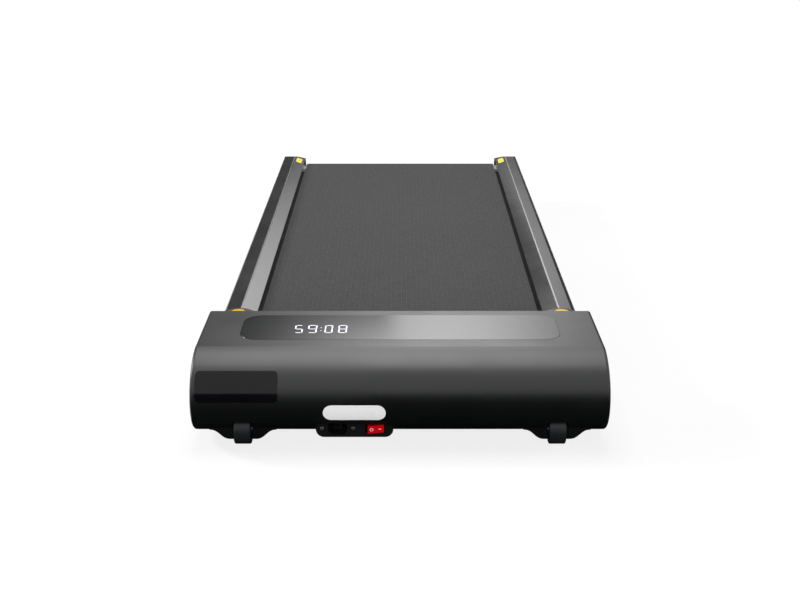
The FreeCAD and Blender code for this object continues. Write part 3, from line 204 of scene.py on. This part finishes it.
# ---- Walking belt ------------------------------------------------------------------------------------
# Two-ply polyester belt with a PVC cover embossed in files of small studs for grip. The cover is dull
# charcoal, paler on its raised points, with dust in patches.
row_pitch, pair_pitch = 10.0 * mm, 7.7 * mm
cover, shader, place = finish("embossed_pvc", Specular_IOR_Level=0.2)
part_of = add(cover, "SeparateXYZ", {0: place}).outputs
turn = add(cover, "Math", {0: part_of[0], 1: math.tau / pair_pitch}, operation="MULTIPLY").outputs[0]
across = add(cover, "Math", {0: turn}, operation="SINE").outputs[0]
turn = add(cover, "Math", {0: part_of[1], 1: math.tau / row_pitch}, operation="MULTIPLY").outputs[0]
along = add(cover, "Math", {0: turn}, operation="SINE").outputs[0]

# Squaring the wave across gives two files of studs to a pair, the wave along sets the second file half a
# row back, and the small constant makes one file a little taller.
paired, set_back, taller = 0.46, 0.3, 0.07
stagger = add(cover, "Math", {0: along, 1: set_back, 2: taller}, operation="MULTIPLY_ADD").outputs[0]
stagger = add(cover, "Math", {0: across, 1: paired, 2: stagger}, operation="MULTIPLY_ADD").outputs[0]
stud = add(cover, "Math", {0: across, 1: stagger}, operation="MULTIPLY").outputs[0]
raised = add(cover, "MapRange", {"Value": stud, "From Min": -0.5, "From Max": 1.0}).outputs[0]
dust = add(cover, "TexNoise", {"Vector": place, "Scale": 260.0, "Detail": 3.0}).outputs["Fac"]
dusty = add(cover, "MapRange", {"Value": dust, "From Min": 0.35, "From Max": 0.7, "To Max": 0.6}).outputs[0]
cloud = add(cover, "TexNoise", {"Vector": place, "Scale": 5.0, "Detail": 2.0}).outputs["Fac"]
worn = add(cover, "MapRange", {"Value": cloud, "From Min": 0.35, "To Max": 0.25}).outputs[0]
tint = add(cover, "Mix", {0: raised, first: "#2b2b2b", second: "#545454"}, data_type="RGBA").outputs[mixed]
tint = add(cover, "Mix", {0: dusty, first: tint, second: "#343434"}, data_type="RGBA").outputs[mixed]
tint = add(cover, "Mix", {0: worn, first: tint, second: "#484848"}, data_type="RGBA").outputs[mixed]
rough = add(cover, "MapRange", {"Value": dust, "To Min": 0.62, "To Max": 0.8}).outputs[0]
relief = add(cover, "Bump", {"Height": raised, "Distance": 0.25 * mm, "Strength": 0.7}).outputs[0]
relief = add(cover, "Bump", {"Height": dust, "Distance": 0.05 * mm, "Normal": relief}).outputs[0]
feed(cover, shader, Base_Color=tint, Roughness=rough, Normal=relief)
put_on(cover, "walking_belt")


# ---- Side rails --------------------------------------------------------------------------------------
# Extruded aluminium with a dark satin coat, cut to length. The die leaves a narrow ridge between the two
# facets. A painted highlight runs along it: a pale line, painted on its upward faces only.
# The boxed rear ends are ABS, sprayed with the same coat.
inner_facet, highlight_half_width = 22.0 * mm, 0.9 * mm
low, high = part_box("side_rail_right")
rail_coat, shader, place = finish("satin_coated_extrusion", Specular_IOR_Level=0.38)
tint = grained(rail_coat, shader, place, 1.4 * mm, ("#363636", "#464645"), (0.13, 0.17), 0.012 * mm)
side = add(rail_coat, "SeparateXYZ", {0: place}).outputs[0]
across = add(rail_coat, "Math", {0: side}, operation="ABSOLUTE").outputs[0]
# Painted highlight: a pale line along the ridge, on upward faces only, stands in for the light it catches.
painted_ridge_highlight = add(rail_coat, "Math", {0: across, 1: low.x + inner_facet, 2: highlight_half_width},
            operation="COMPARE").outputs[0]
up = add(rail_coat, "SeparateXYZ", {0: add(rail_coat, "NewGeometry", {}).outputs["True Normal"]}).outputs[2]
on_top = add(rail_coat, "Math", {0: up, 1: 0.5}, operation="GREATER_THAN").outputs[0]
painted_ridge_highlight = add(rail_coat, "Math", {0: painted_ridge_highlight, 1: on_top}, operation="MULTIPLY").outputs[0]
# The pale grey of the painted highlight along the ridge.
tint = add(rail_coat, "Mix", {0: painted_ridge_highlight, first: tint, second: "#8e9092"}, data_type="RGBA").outputs[mixed]
feed(rail_coat, shader, Base_Color=tint)
put_on(rail_coat, "side_rail_left", "side_rail_right", "rear_cap_left", "rear_cap_right")

# The clips that hold the rails on, the bottom cover and the motor's fan are moulded black polypropylene.
black_moulding, shader, place = finish("black_polypropylene", Specular_IOR_Level=0.35)
grained(black_moulding, shader, place, 1.0 * mm, ("#0f1011", "#1b1c1d"), (0.5, 0.62), 0.05 * mm)
put_on(black_moulding, "rail_clips", "belly_pan", "motor_fan")


# ---- Rail ends ---------------------------------------------------------------------------------------
# Round front ends, moulded ABS in the rail's grey with a fine spark-eroded satin. Yellow plugs cover their
# screws, and yellow inserts sit in the boxed rear ends.
satin_abs, shader, place = finish("satin_abs", Specular_IOR_Level=0.45)
grained(satin_abs, shader, place, 1.0 * mm, ("#3a3b3d", "#47484a"), (0.34, 0.44), 0.04 * mm)
put_on(satin_abs, "rail_boss_left", "rail_boss_right")

# Round yellow plugs snap in over the front screws: glossy, turning orange in a ring towards the edge. The
# left plug is folded over onto the right one, so that both share a middle.
plug_radius, rim_inside, rim_outside = 10.0 * mm, 7.6 * mm, 9.6 * mm
low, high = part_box("boss_plugs")
middle = (high.x - plug_radius, -(low.y + high.y) / 2, 0.0)
yellow, shader, place = finish("yellow_abs", Specular_IOR_Level=0.3)
fold = add(yellow, "VectorMath", {0: place}, operation="ABSOLUTE").outputs[0]
fold = add(yellow, "VectorMath", {0: fold, 1: (1.0, 1.0, 0.0)}, operation="MULTIPLY").outputs[0]
radius = add(yellow, "VectorMath", {0: fold, 1: middle}, operation="DISTANCE").outputs["Value"]
rim = add(yellow, "MapRange", {"Value": radius, "From Min": rim_inside, "From Max": rim_outside}).outputs[0]
cloud = add(yellow, "TexNoise", {"Vector": place, "Scale": 500.0}).outputs["Fac"]
tint = add(yellow, "Mix", {0: rim, first: "#ffc800", second: "#f08a00"}, data_type="RGBA").outputs[mixed]
rough = add(yellow, "MapRange", {"Value": cloud, "To Min": 0.25, "To Max": 0.4}).outputs[0]
bump = add(yellow, "Bump", {"Height": cloud, "Distance": 0.02 * mm}).outputs[0]
feed(yellow, shader, Base_Color=tint, Roughness=rough, Normal=bump)
put_on(yellow, "boss_plugs")

# Bright yellow inserts in the rear ends: a softer matt moulding with an orange dimple in the middle.
insert_from_side, dimple_radius = 6.0 * mm, 1.9 * mm
low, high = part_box("rear_inserts")
middle = (high.x - insert_from_side, (low.y + high.y) / 2, 0.0)
lemon, shader, place = finish("lemon_moulding", Specular_IOR_Level=0.4)
fold = add(lemon, "VectorMath", {0: place}, operation="ABSOLUTE").outputs[0]
fold = add(lemon, "VectorMath", {0: fold, 1: (1.0, 1.0, 0.0)}, operation="MULTIPLY").outputs[0]
radius = add(lemon, "VectorMath", {0: fold, 1: middle}, operation="DISTANCE").outputs["Value"]
spot = add(lemon, "Math", {0: radius, 1: dimple_radius}, operation="LESS_THAN").outputs[0]
cloud = add(lemon, "TexNoise", {"Vector": place, "Scale": 400.0}).outputs["Fac"]
tint = add(lemon, "Mix", {0: cloud, first: "#f6ea3a", second: "#fff45c"}, data_type="RGBA").outputs[mixed]
tint = add(lemon, "Mix", {0: spot, first: tint, second: "#e89a2e"}, data_type="RGBA").outputs[mixed]
rough = add(lemon, "MapRange", {"Value": cloud, "To Min": 0.4, "To Max": 0.55}).outputs[0]
feed(lemon, shader, Base_Color=tint, Roughness=rough)
put_on(lemon, "rear_inserts")


# ---- Motor and drive ---------------------------------------------------------------------------------
# Enamelled steel motor can, turned aluminium pulleys, and a ribbed rubber belt between them. The belt's
# ribs and grooves are drawn 2.6 mm wide.
enamel, shader, place = finish("black_enamel", Coat_Weight=0.3, Coat_Roughness=0.2)
grained(enamel, shader, place, 1.6 * mm, ("#1d1e21", "#2a2b2f"), (0.3, 0.42), 0.03 * mm)
put_on(enamel, "motor_body")

turned, shader, place = finish("turned_aluminium", Metallic=1.0)
grained(turned, shader, place, 0.8 * mm, ("#7f8285", "#b2b5b8"), (0.25, 0.4), 0.02 * mm)
put_on(turned, "motor_pulley", "roller_pulley", "control_heatsink")

rib_width = 2.6 * mm
ribbed, shader, place = finish("ribbed_rubber", Specular_IOR_Level=0.3)
grained(ribbed, shader, place, 1.2 * mm, ("#0e0e0e", "#1c1c1c"), (0.6, 0.75), 0.05 * mm)
ribs = add(ribbed, "TexWave", {"Vector": place, "Scale": 1 / (bands * rib_width)},
           bands_direction="X").outputs["Fac"]
feed(ribbed, shader, Normal=add(ribbed, "Bump", {"Height": ribs, "Distance": 0.6 * mm}).outputs[0])
put_on(ribbed, "drive_belt")


# ---- Electronics -------------------------------------------------------------------------------------
# Circuit boards of green glass laminate with paler tracks. Everything that stands above a board's top face
# is a moulded or wound part, in dark tones that differ from cell to cell.
for node, board_top in (("control_board", 7.7 * mm), ("display_module", 1.65 * mm)):
    low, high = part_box(node)
    laminate, shader, place = finish(node + "_laminate", Roughness=0.4)
    height = add(laminate, "SeparateXYZ", {0: place}).outputs[2]
    above = add(laminate, "Math", {0: height, 1: low.z + board_top}, operation="GREATER_THAN").outputs[0]
    tracks = add(laminate, "TexVoronoi", {"Vector": place, "Scale": 180.0},
                 feature="F2").outputs["Distance"]
    lines = add(laminate, "Math", {0: tracks, 1: 0.55}, operation="GREATER_THAN").outputs[0]
    green = add(laminate, "Mix", {0: lines, first: "#16502c", second: "#2a7a48"},
                data_type="RGBA").outputs[mixed]
    cell = add(laminate, "TexVoronoi", {"Vector": place, "Scale": 60.0}).outputs["Color"]
    cell = add(laminate, "SeparateColor", {0: cell}).outputs[0]
    parts = add(laminate, "Mix", {0: cell, first: "#1b1b1f", second: "#3a3f4a"},
                data_type="RGBA").outputs[mixed]
    tint = add(laminate, "Mix", {0: above, first: green, second: parts}, data_type="RGBA").outputs[mixed]
    feed(laminate, shader, Base_Color=tint)
    put_on(laminate, node)

# Leads are PVC sheathed, black, with a soft shine.
sheath, shader, place = finish("pvc_sheath", Specular_IOR_Level=0.45)
grained(sheath, shader, place, 2.0 * mm, ("#161616", "#242424"), (0.4, 0.5), 0.03 * mm)
put_on(sheath, "wiring_loom")


# ---- Motor hood --------------------------------------------------------------------------------------
# One large ABS moulding in charcoal, spark-eroded satin all over. The 0.3 mm grain is drawn 1.2 mm wide to
# show; it breaks up reflections into a soft sheen.
hood_abs, shader, place = finish("spark_eroded_abs", Specular_IOR_Level=0.65)
grained(hood_abs, shader, place, 1.2 * mm, ("#0b0c0c", "#101111"), (0.34, 0.4), 0.04 * mm)
put_on(hood_abs, "motor_hood")


# ---- Display -----------------------------------------------------------------------------------------
# A thin smoked acrylic strip with polished faces, bonded into a recess. Digits shine through it, so they
# are laid 0.05 mm above its face.
smoked, shader, place = finish("smoked_acrylic", IOR=1.49)
haze = add(smoked, "TexNoise", {"Vector": place, "Scale": 30.0, "Detail": 2.0}).outputs["Fac"]
tint = add(smoked, "Mix", {0: haze, first: "#1f2020", second: "#242526"}, data_type="RGBA").outputs[mixed]
rough = add(smoked, "MapRange", {"Value": haze, "To Min": 0.13, "To Max": 0.16}).outputs[0]
feed(smoked, shader, Base_Color=tint, Roughness=rough)
put_on(smoked, "display_lens")

# Seven-segment digits, 29 mm tall, lit white by LEDs, and read from the hood's side.
led, shader, place = finish("white_led_segment", Roughness=0.5, Emission_Color="#f0f0ff",
                            Emission_Strength=0.9)
glow = add(led, "TexNoise", {"Vector": place, "Scale": 400.0}).outputs["Fac"]
tint = add(led, "Mix", {0: glow, first: "#e2e2f0", second: "#f6f6ff"}, data_type="RGBA").outputs[mixed]
feed(led, shader, Base_Color=tint)
digit_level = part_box("display_lens")[1].z + 0.05 * mm


def segment(bm, x, y, length, upright, stroke):
    """A flat hexagonal bar from its middle, lying in the strip's face."""
    half, side = length / 2, stroke / 2
    tips = [(-half, 0), (-half + side, side), (half - side, side), (half, 0), (half - side, -side),
            (-half + side, -side)]
    if upright:
        tips = [(b, a) for a, b in reversed(tips)]
    bm.faces.new([bm.verts.new((x + a, y + b, digit_level)) for a, b in tips])


def made(name, bm, material):
    """A new object from its mesh, with its material on."""
    mesh = bpy.data.meshes.new(name)
    bm.to_mesh(mesh)
    bm.free()
    piece = bpy.data.objects.new(name, mesh)
    bpy.context.scene.collection.objects.link(piece)
    mesh.materials.append(material)
    return piece


# Each figure's left and right limits in millimetres, and the segments that each one lights.
figures = (("5", -140.5, -129.6), ("9", -123.0, -110.9), ("0", -100.5, -89.8), ("8", -82.3, -70.7))
segments_of = {"5": "afgcd", "9": "abfgcd", "0": "abcdef", "8": "abcdefg"}
low_y, tall, stroke, gap = -503.8 * mm, 29.0 * mm, 1.7 * mm, 1.4 * mm
half = (tall - stroke) / 2
base = low_y + stroke / 2
bm = bmesh.new()
for figure, left, right in figures:
    left, right = left * mm, right * mm
    middle, wide = (left + right) / 2, right - left - stroke
    bars = {"a": (middle, base + 2 * half, wide, False), "g": (middle, base + half, wide, False),
            "d": (middle, base, wide, False), "f": (left + stroke / 2, base + 1.5 * half, half, True),
            "b": (right - stroke / 2, base + 1.5 * half, half, True),
            "e": (left + stroke / 2, base + 0.5 * half, half, True),
            "c": (right - stroke / 2, base + 0.5 * half, half, True)}
    for letter in segments_of[figure]:
        x, y, length, upright = bars[letter]
        segment(bm, x, y, length - gap, upright, stroke)

# The colon's two dots stand between the second and third figures.
colon_x, dot_length, dot_height = -105.4 * mm, 2.0 * mm, 1.8 * mm
for dot_y in (-495.5 * mm, -484.5 * mm):
    segment(bm, colon_x, dot_y, dot_length, False, dot_height)
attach(made("display_digits", bm, led), "frame")


# ---- Stickers ----------------------------------------------------------------------------------------
# Two labels on the hood's front, left blank: a black one with 5 mm corners and a white one with round
# ends. Both are thin polyester film, stuck on flat and following the hood's curve.
def skin_of(node):
    """A CAD piece's surface, to be met by a line."""
    bm = bmesh.new()
    bm.from_mesh(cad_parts[node].data)
    skin = BVHTree.FromBMesh(bm)
    bm.free()
    return skin


hood_skin = skin_of("motor_hood")
film_thickness, columns, before_nose = 0.12 * mm, 40, -0.8


def film(name, outline, material):
    """A film over the hood's front, from its left and right limits at each height."""
    bm = bmesh.new()
    rows = []
    for z, left, right in outline:
        row = []
        for i in range(columns + 1):
            x = left + (right - left) * i / columns
            spot, normal, _, _ = hood_skin.ray_cast(Vector((x, before_nose, z)), Vector((0, 1, 0)))
            row.append(bm.verts.new(spot + normal * film_thickness))
        rows.append(row)
    for lower, upper in zip(rows, rows[1:]):
        for i in range(columns):
            bm.faces.new((lower[i], lower[i + 1], upper[i + 1], upper[i]))
    for face in bm.faces:
        face.smooth = True
    return made(name, bm, material)


def rounded_outline(left, right, bottom, top, corner, steps=24):
    """Left and right limits of a round-cornered rectangle, by height."""
    rows = []
    for i in range(steps + 1):
        z = bottom + (top - bottom) * (1 - math.cos(math.pi * i / steps)) / 2
        inset = max(0.0, corner - min(z - bottom, top - z))
        pull = corner - math.sqrt(max(0.0, corner ** 2 - inset ** 2))
        rows.append((z, left + pull, right - pull))
    return rows


black_film, shader, place = finish("black_polyester_film", Specular_IOR_Level=0.28)
grained(black_film, shader, place, 3.0 * mm, ("#08080a", "#0d0d0f"), (0.1, 0.14), 0.004 * mm)
outline = rounded_outline(left=-0.2585, right=-0.154, bottom=0.0664, top=0.1009, corner=0.005)
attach(film("warning_sticker_blank", outline, black_film), "frame")

white_film, shader, place = finish("white_polyester_film", Specular_IOR_Level=0.4)
grained(white_film, shader, place, 3.0 * mm, ("#fafafa", "#ffffff"), (0.4, 0.46), 0.01 * mm)
outline = rounded_outline(left=-0.0973, right=-0.0179, bottom=0.0412, top=0.063, corner=0.0109)
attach(film("notice_sticker_blank", outline, white_film), "frame")


# ---- Power panel -------------------------------------------------------------------------------------
# A black nylon box hung under the hood's lip, with the mains inlet and the switch frame set in it. Its fine
# moulded grain keeps it dull beside the hood.
black_nylon, shader, place = finish("black_nylon", Specular_IOR_Level=0.35)
grained(black_nylon, shader, place, 0.9 * mm, ("#0b0b0c", "#151516"), (0.42, 0.55), 0.04 * mm)
put_on(black_nylon, "power_panel", "power_inlet", "switch_bezel")

# The inlet's screws are nickel plated, greyer and softer than zinc.
nickel, shader, place = finish("dull_nickel_plate", Metallic=1.0)
grained(nickel, shader, place, 0.8 * mm, ("#8a8b8d", "#a8a9ab"), (0.38, 0.48), 0.02 * mm)
put_on(nickel, "inlet_screws")

# Three blades stand in the inlet: brass plated with black nickel, dull and dark.
brass, shader, place = finish("black_nickelled_brass", Metallic=1.0)
grained(brass, shader, place, 0.8 * mm, ("#2e2b26", "#45413a"), (0.4, 0.5), 0.01 * mm)
put_on(brass, "inlet_blades")

# The rocker is red polycarbonate, moulded and polished.
red, shader, place = finish("red_polycarbonate", Coat_Weight=0.5, Coat_Roughness=0.08)
grained(red, shader, place, 2.0 * mm, ("#c80008", "#dc0010"), (0.18, 0.26), 0.01 * mm)
put_on(red, "power_rocker")

# Its two signs are pad printed in pale grey, a ring on the side that is out and a bar on the side pressed
# in. The ink lies on the curved faces and turns with them.
ink, shader, place = finish("pad_printed_ink", Roughness=0.5)
speck = add(ink, "TexNoise", {"Vector": place, "Scale": 900.0}).outputs["Fac"]
tint = add(ink, "Mix", {0: speck, first: "#d8c8c8", second: "#f0e4e4"}, data_type="RGBA").outputs[mixed]
feed(ink, shader, Base_Color=tint)
rocker_skin = skin_of("power_rocker")
low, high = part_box("power_rocker")
centre_x, centre_z = (low.x + high.x) / 2, (low.z + high.z) / 2
sign_from_centre, ink_thickness, before_rocker = 5.3 * mm, 0.05 * mm, low.y - 0.05
ring_radii, ring_points = (1.5 * mm, 2.2 * mm), 32
bar_half_width, bar_half_height = 1.9 * mm, 0.4 * mm


def on_rocker(bm, x, z):
    """A corner of a printed sign, just proud of the rocker's face."""
    spot, normal, _, _ = rocker_skin.ray_cast(Vector((x, before_rocker, z)), Vector((0, 1, 0)))
    return bm.verts.new(spot + normal * ink_thickness)


bm = bmesh.new()
rings = []
for radius in ring_radii:
    ring = []
    for i in range(ring_points):
        angle = math.tau * i / ring_points
        ring.append(on_rocker(bm, centre_x - sign_from_centre + radius * math.cos(angle),
                              centre_z + radius * math.sin(angle)))
    rings.append(ring)
inner, outer = rings
for i in range(ring_points):
    j = (i + 1) % ring_points
    bm.faces.new((inner[i], inner[j], outer[j], outer[i]))
bar = [on_rocker(bm, centre_x + sign_from_centre + x * bar_half_width, centre_z + z * bar_half_height)
       for x, z in ((-1, -1), (1, -1), (1, 1), (-1, 1))]
bm.faces.new(bar)
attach(made("rocker_signs", bm, ink), "power_rocker")


# ---- Wheels ------------------------------------------------------------------------------------------
# Solid polyurethane wheels, moulded in one with their hubs: dark, slightly shiny, dished at the sides. Each
# turns on a pin in the hood's moulded feet.
wheel_finish, shader, place = finish("moulded_polyurethane", Specular_IOR_Level=0.5)
grained(wheel_finish, shader, place, 1.2 * mm, ("#17181a", "#202123"), (0.45, 0.58), 0.05 * mm)
put_on(wheel_finish, "transport_wheel_left", "transport_wheel_right")


# ---- Studio floor ------------------------------------------------------------------------------------
# A pale matt floor that the eye reads as white, while it keeps the soft shadow close to the treadmill. Its
# own glow shows only to the camera and in reflections, and lights nothing.
def looked_at(owner):
    """1 for a ray from the camera, a reflection or glass, and 0 for a ray that gathers light."""
    rays = add(owner, "LightPath", {}).outputs
    seen = add(owner, "Math", {0: rays["Is Camera Ray"], 1: rays["Is Glossy Ray"]}, operation="MAXIMUM")
    seen = add(owner, "Math", {0: seen.outputs[0], 1: rays["Is Transmission Ray"]}, operation="MAXIMUM")
    return seen.outputs[0]


floor_paint, shader, place = finish("floor_paint", Roughness=0.9, Specular_IOR_Level=0.0,
                                    Emission_Color="#ffffff")
speck = add(floor_paint, "TexNoise", {"Vector": place, "Scale": 3.0}).outputs["Fac"]
tint = add(floor_paint, "Mix", {0: speck, first: "#888888", second: "#909090"},
           data_type="RGBA").outputs[mixed]
away = add(floor_paint, "VectorMath", {0: place}, operation="LENGTH").outputs["Value"]
glow = add(floor_paint, "MapRange", {"Value": away, "From Min": 0.7, "From Max": 2.2, "To Min": 0.80,
                                     "To Max": 1.0}).outputs[0]
shown = add(floor_paint, "Math", {0: looked_at(floor_paint), 1: glow}, operation="MULTIPLY").outputs[0]
feed(floor_paint, shader, Base_Color=tint, Emission_Strength=shown)


def card(name, material, corners):
    """A flat sheet through its corners, which isn't part of the treadmill."""
    bm = bmesh.new()
    bm.faces.new([bm.verts.new(corner) for corner in corners])
    sheet = made(name, bm, material)
    sheet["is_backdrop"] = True
    return sheet


far = 40.0
card("floor", floor_paint, [(-far, -far, 0), (far, -far, 0), (far, far, 0), (-far, far, 0)])


# ---- Studio flags and screen -------------------------------------------------------------------------
# Black felt flags lie on the floor and stand before the nose, so that the lower half of the hood falls away
# dark. A dim grey felt stands low behind on the left, where the rails darken. Only reflections show them.
felt, shader, place = finish("black_felt", Roughness=1.0, Specular_IOR_Level=0.0)
nap = add(felt, "TexNoise", {"Vector": place, "Scale": 200.0}).outputs["Fac"]
tint = add(felt, "Mix", {0: nap, first: "#030303", second: "#070707"}, data_type="RGBA").outputs[mixed]
feed(felt, shader, Base_Color=tint)
grey_felt, shader, place = finish("grey_felt", Roughness=1.0, Specular_IOR_Level=0.0,
                                  Base_Color="#000000", Emission_Color="#ffffff")
aside = add(grey_felt, "SeparateXYZ", {0: place}).outputs[0]
dim = add(grey_felt, "MapRange", {"Value": aside, "From Min": -0.6, "From Max": -0.1, "To Min": 0.03,
                                  "To Max": 0.09}).outputs[0]
feed(grey_felt, shader, Emission_Strength=dim)
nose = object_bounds()[0].y
reach, off_floor, side_flag_left, side_flag_rear = 4.0, 0.003, -0.32, 1.6
front_flag_top, low_flag_right, low_flag_y, low_flag_top = 1.3, -0.032, 3.0, 1.41
reflected = [
    card("floor_flag", felt, [(-reach, -reach, off_floor), (reach, -reach, off_floor),
                              (reach, nose, off_floor), (-reach, nose, off_floor)]),
    card("side_flag", felt, [(side_flag_left, nose, off_floor), (reach, nose, off_floor),
                             (reach, side_flag_rear, off_floor),
                             (side_flag_left, side_flag_rear, off_floor)]),
    card("front_flag", felt, [(-reach, -reach, 0.0), (reach, -reach, 0.0),
                              (reach, -reach, front_flag_top), (-reach, -reach, front_flag_top)]),
    card("low_flag", grey_felt, [(-reach, low_flag_y, 0.0), (low_flag_right, low_flag_y, 0.0),
                                 (low_flag_right, low_flag_y, low_flag_top),
                                 (-reach, low_flag_y, low_flag_top)]),
]

# A silk screen hangs behind, lit brightest just right of the middle and fading to its sides and its hem.
# Only its reflection shows: the long gradient in the display strip, the hood's flat top and the rails.
silk_y, silk_top, brightest_x = 3.1, 2.6, 0.17
silk, shader, place = finish("lit_silk", Roughness=1.0, Specular_IOR_Level=0.0, Base_Color="#000000",
                             Emission_Color="#ffffff")
part_of = add(silk, "SeparateXYZ", {0: place}).outputs
aside = add(silk, "Math", {0: part_of[0], 1: brightest_x}, operation="SUBTRACT").outputs[0]
aside = add(silk, "Math", {0: aside}, operation="ABSOLUTE").outputs[0]
fade = add(silk, "MapRange", {"Value": aside, "From Max": 0.97, "To Min": 2.9, "To Max": 0.05},
           interpolation_type="SMOOTHSTEP").outputs[0]
top = add(silk, "MapRange", {"Value": part_of[2], "From Min": 1.5, "From Max": 2.2, "To Min": 1.0,
                             "To Max": 2.4}).outputs[0]
fade = add(silk, "Math", {0: fade, 1: top}, operation="MULTIPLY").outputs[0]
hem = add(silk, "MapRange", {"Value": part_of[2], "From Min": 0.53, "From Max": 1.52, "To Min": 0.06},
          interpolation_type="SMOOTHSTEP").outputs[0]
wide = add(silk, "MapRange", {"Value": part_of[2], "From Min": 1.5, "From Max": 1.9, "To Max": 0.32},
           interpolation_type="SMOOTHSTEP").outputs[0]
glow = add(silk, "Math", {0: fade, 1: hem, 2: wide}, operation="MULTIPLY_ADD").outputs[0]
feed(silk, shader, Emission_Strength=glow)
reflected.append(card("silk_screen", silk, [(-reach, silk_y, 0.0), (reach, silk_y, 0.0),
                                            (reach, silk_y, silk_top), (-reach, silk_y, silk_top)]))
for sheet in reflected:
    sheet.visible_camera = False
    sheet.visible_shadow = False
    sheet.visible_diffuse = False


# ---- Studio light and camera -------------------------------------------------------------------------
# A white surround that gives the treadmill only a little light, a large soft lamp overhead and a small one
# on the left. Two low fill lamps, before the nose and on the right, don't show in reflections.
world = bpy.data.worlds.new("surround")
bpy.context.scene.world = world
world.use_nodes = True
sky = world.node_tree.nodes["Background"]
level = add(world, "MapRange", {"Value": looked_at(world), "To Min": 0.12, "To Max": 1.0}).outputs[0]
sky.inputs["Color"].default_value = colour("#ffffff")
world.node_tree.links.new(level, sky.inputs["Strength"])


def softbox(name, spot, aim, width, height, power):
    """A rectangular soft lamp, out of the picture, with its size in metres and its power in watts."""
    lamp = bpy.data.lights.new(name, "AREA")
    lamp.shape = "RECTANGLE"
    lamp.size, lamp.size_y, lamp.energy = width, height, power
    holder = bpy.data.objects.new(name, lamp)
    bpy.context.scene.collection.objects.link(holder)
    holder.location = spot
    holder.rotation_euler = (Vector(aim) - Vector(spot)).to_track_quat("-Z", "Y").to_euler()
    holder.visible_camera = False
    return holder


softbox("overhead_softbox", (0.0, 0.4, 2.2), (0.0, 0.4, 0.0), 1.3, 2.0, 28.0)
softbox("left_softbox", (-2.5, 0.3, 1.5), (0.0, 0.1, 0.1), 0.5, 0.5, 42.0)
front_fill = softbox("front_fill", (0.0, -2.8, 0.5), (0.0, -0.6, 0.05), 1.6, 0.5, 34.0)
right_fill = softbox("right_fill", (2.8, 0.2, 0.5), (0.2, 0.1, 0.05), 1.6, 0.5, 30.0)
for fill in (front_fill, right_fill):
    fill.visible_glossy = False

# The camera stands 2.06 m before the treadmill's middle and 0.71 m up, and looks 19.3 degrees down.
camera = bpy.data.objects.new("camera", bpy.data.cameras.new("camera"))
bpy.context.scene.collection.objects.link(camera)
camera.data.sensor_width = 36.0
camera.data.lens = 56.59
camera.data.clip_end = 100.0
camera.location = (0.0, -2.0627, 0.7099)
camera.rotation_euler = (math.radians(70.7), 0.0, 0.0)
bpy.context.scene.camera = camera
bpy.context.scene.view_settings.view_transform = "Standard"
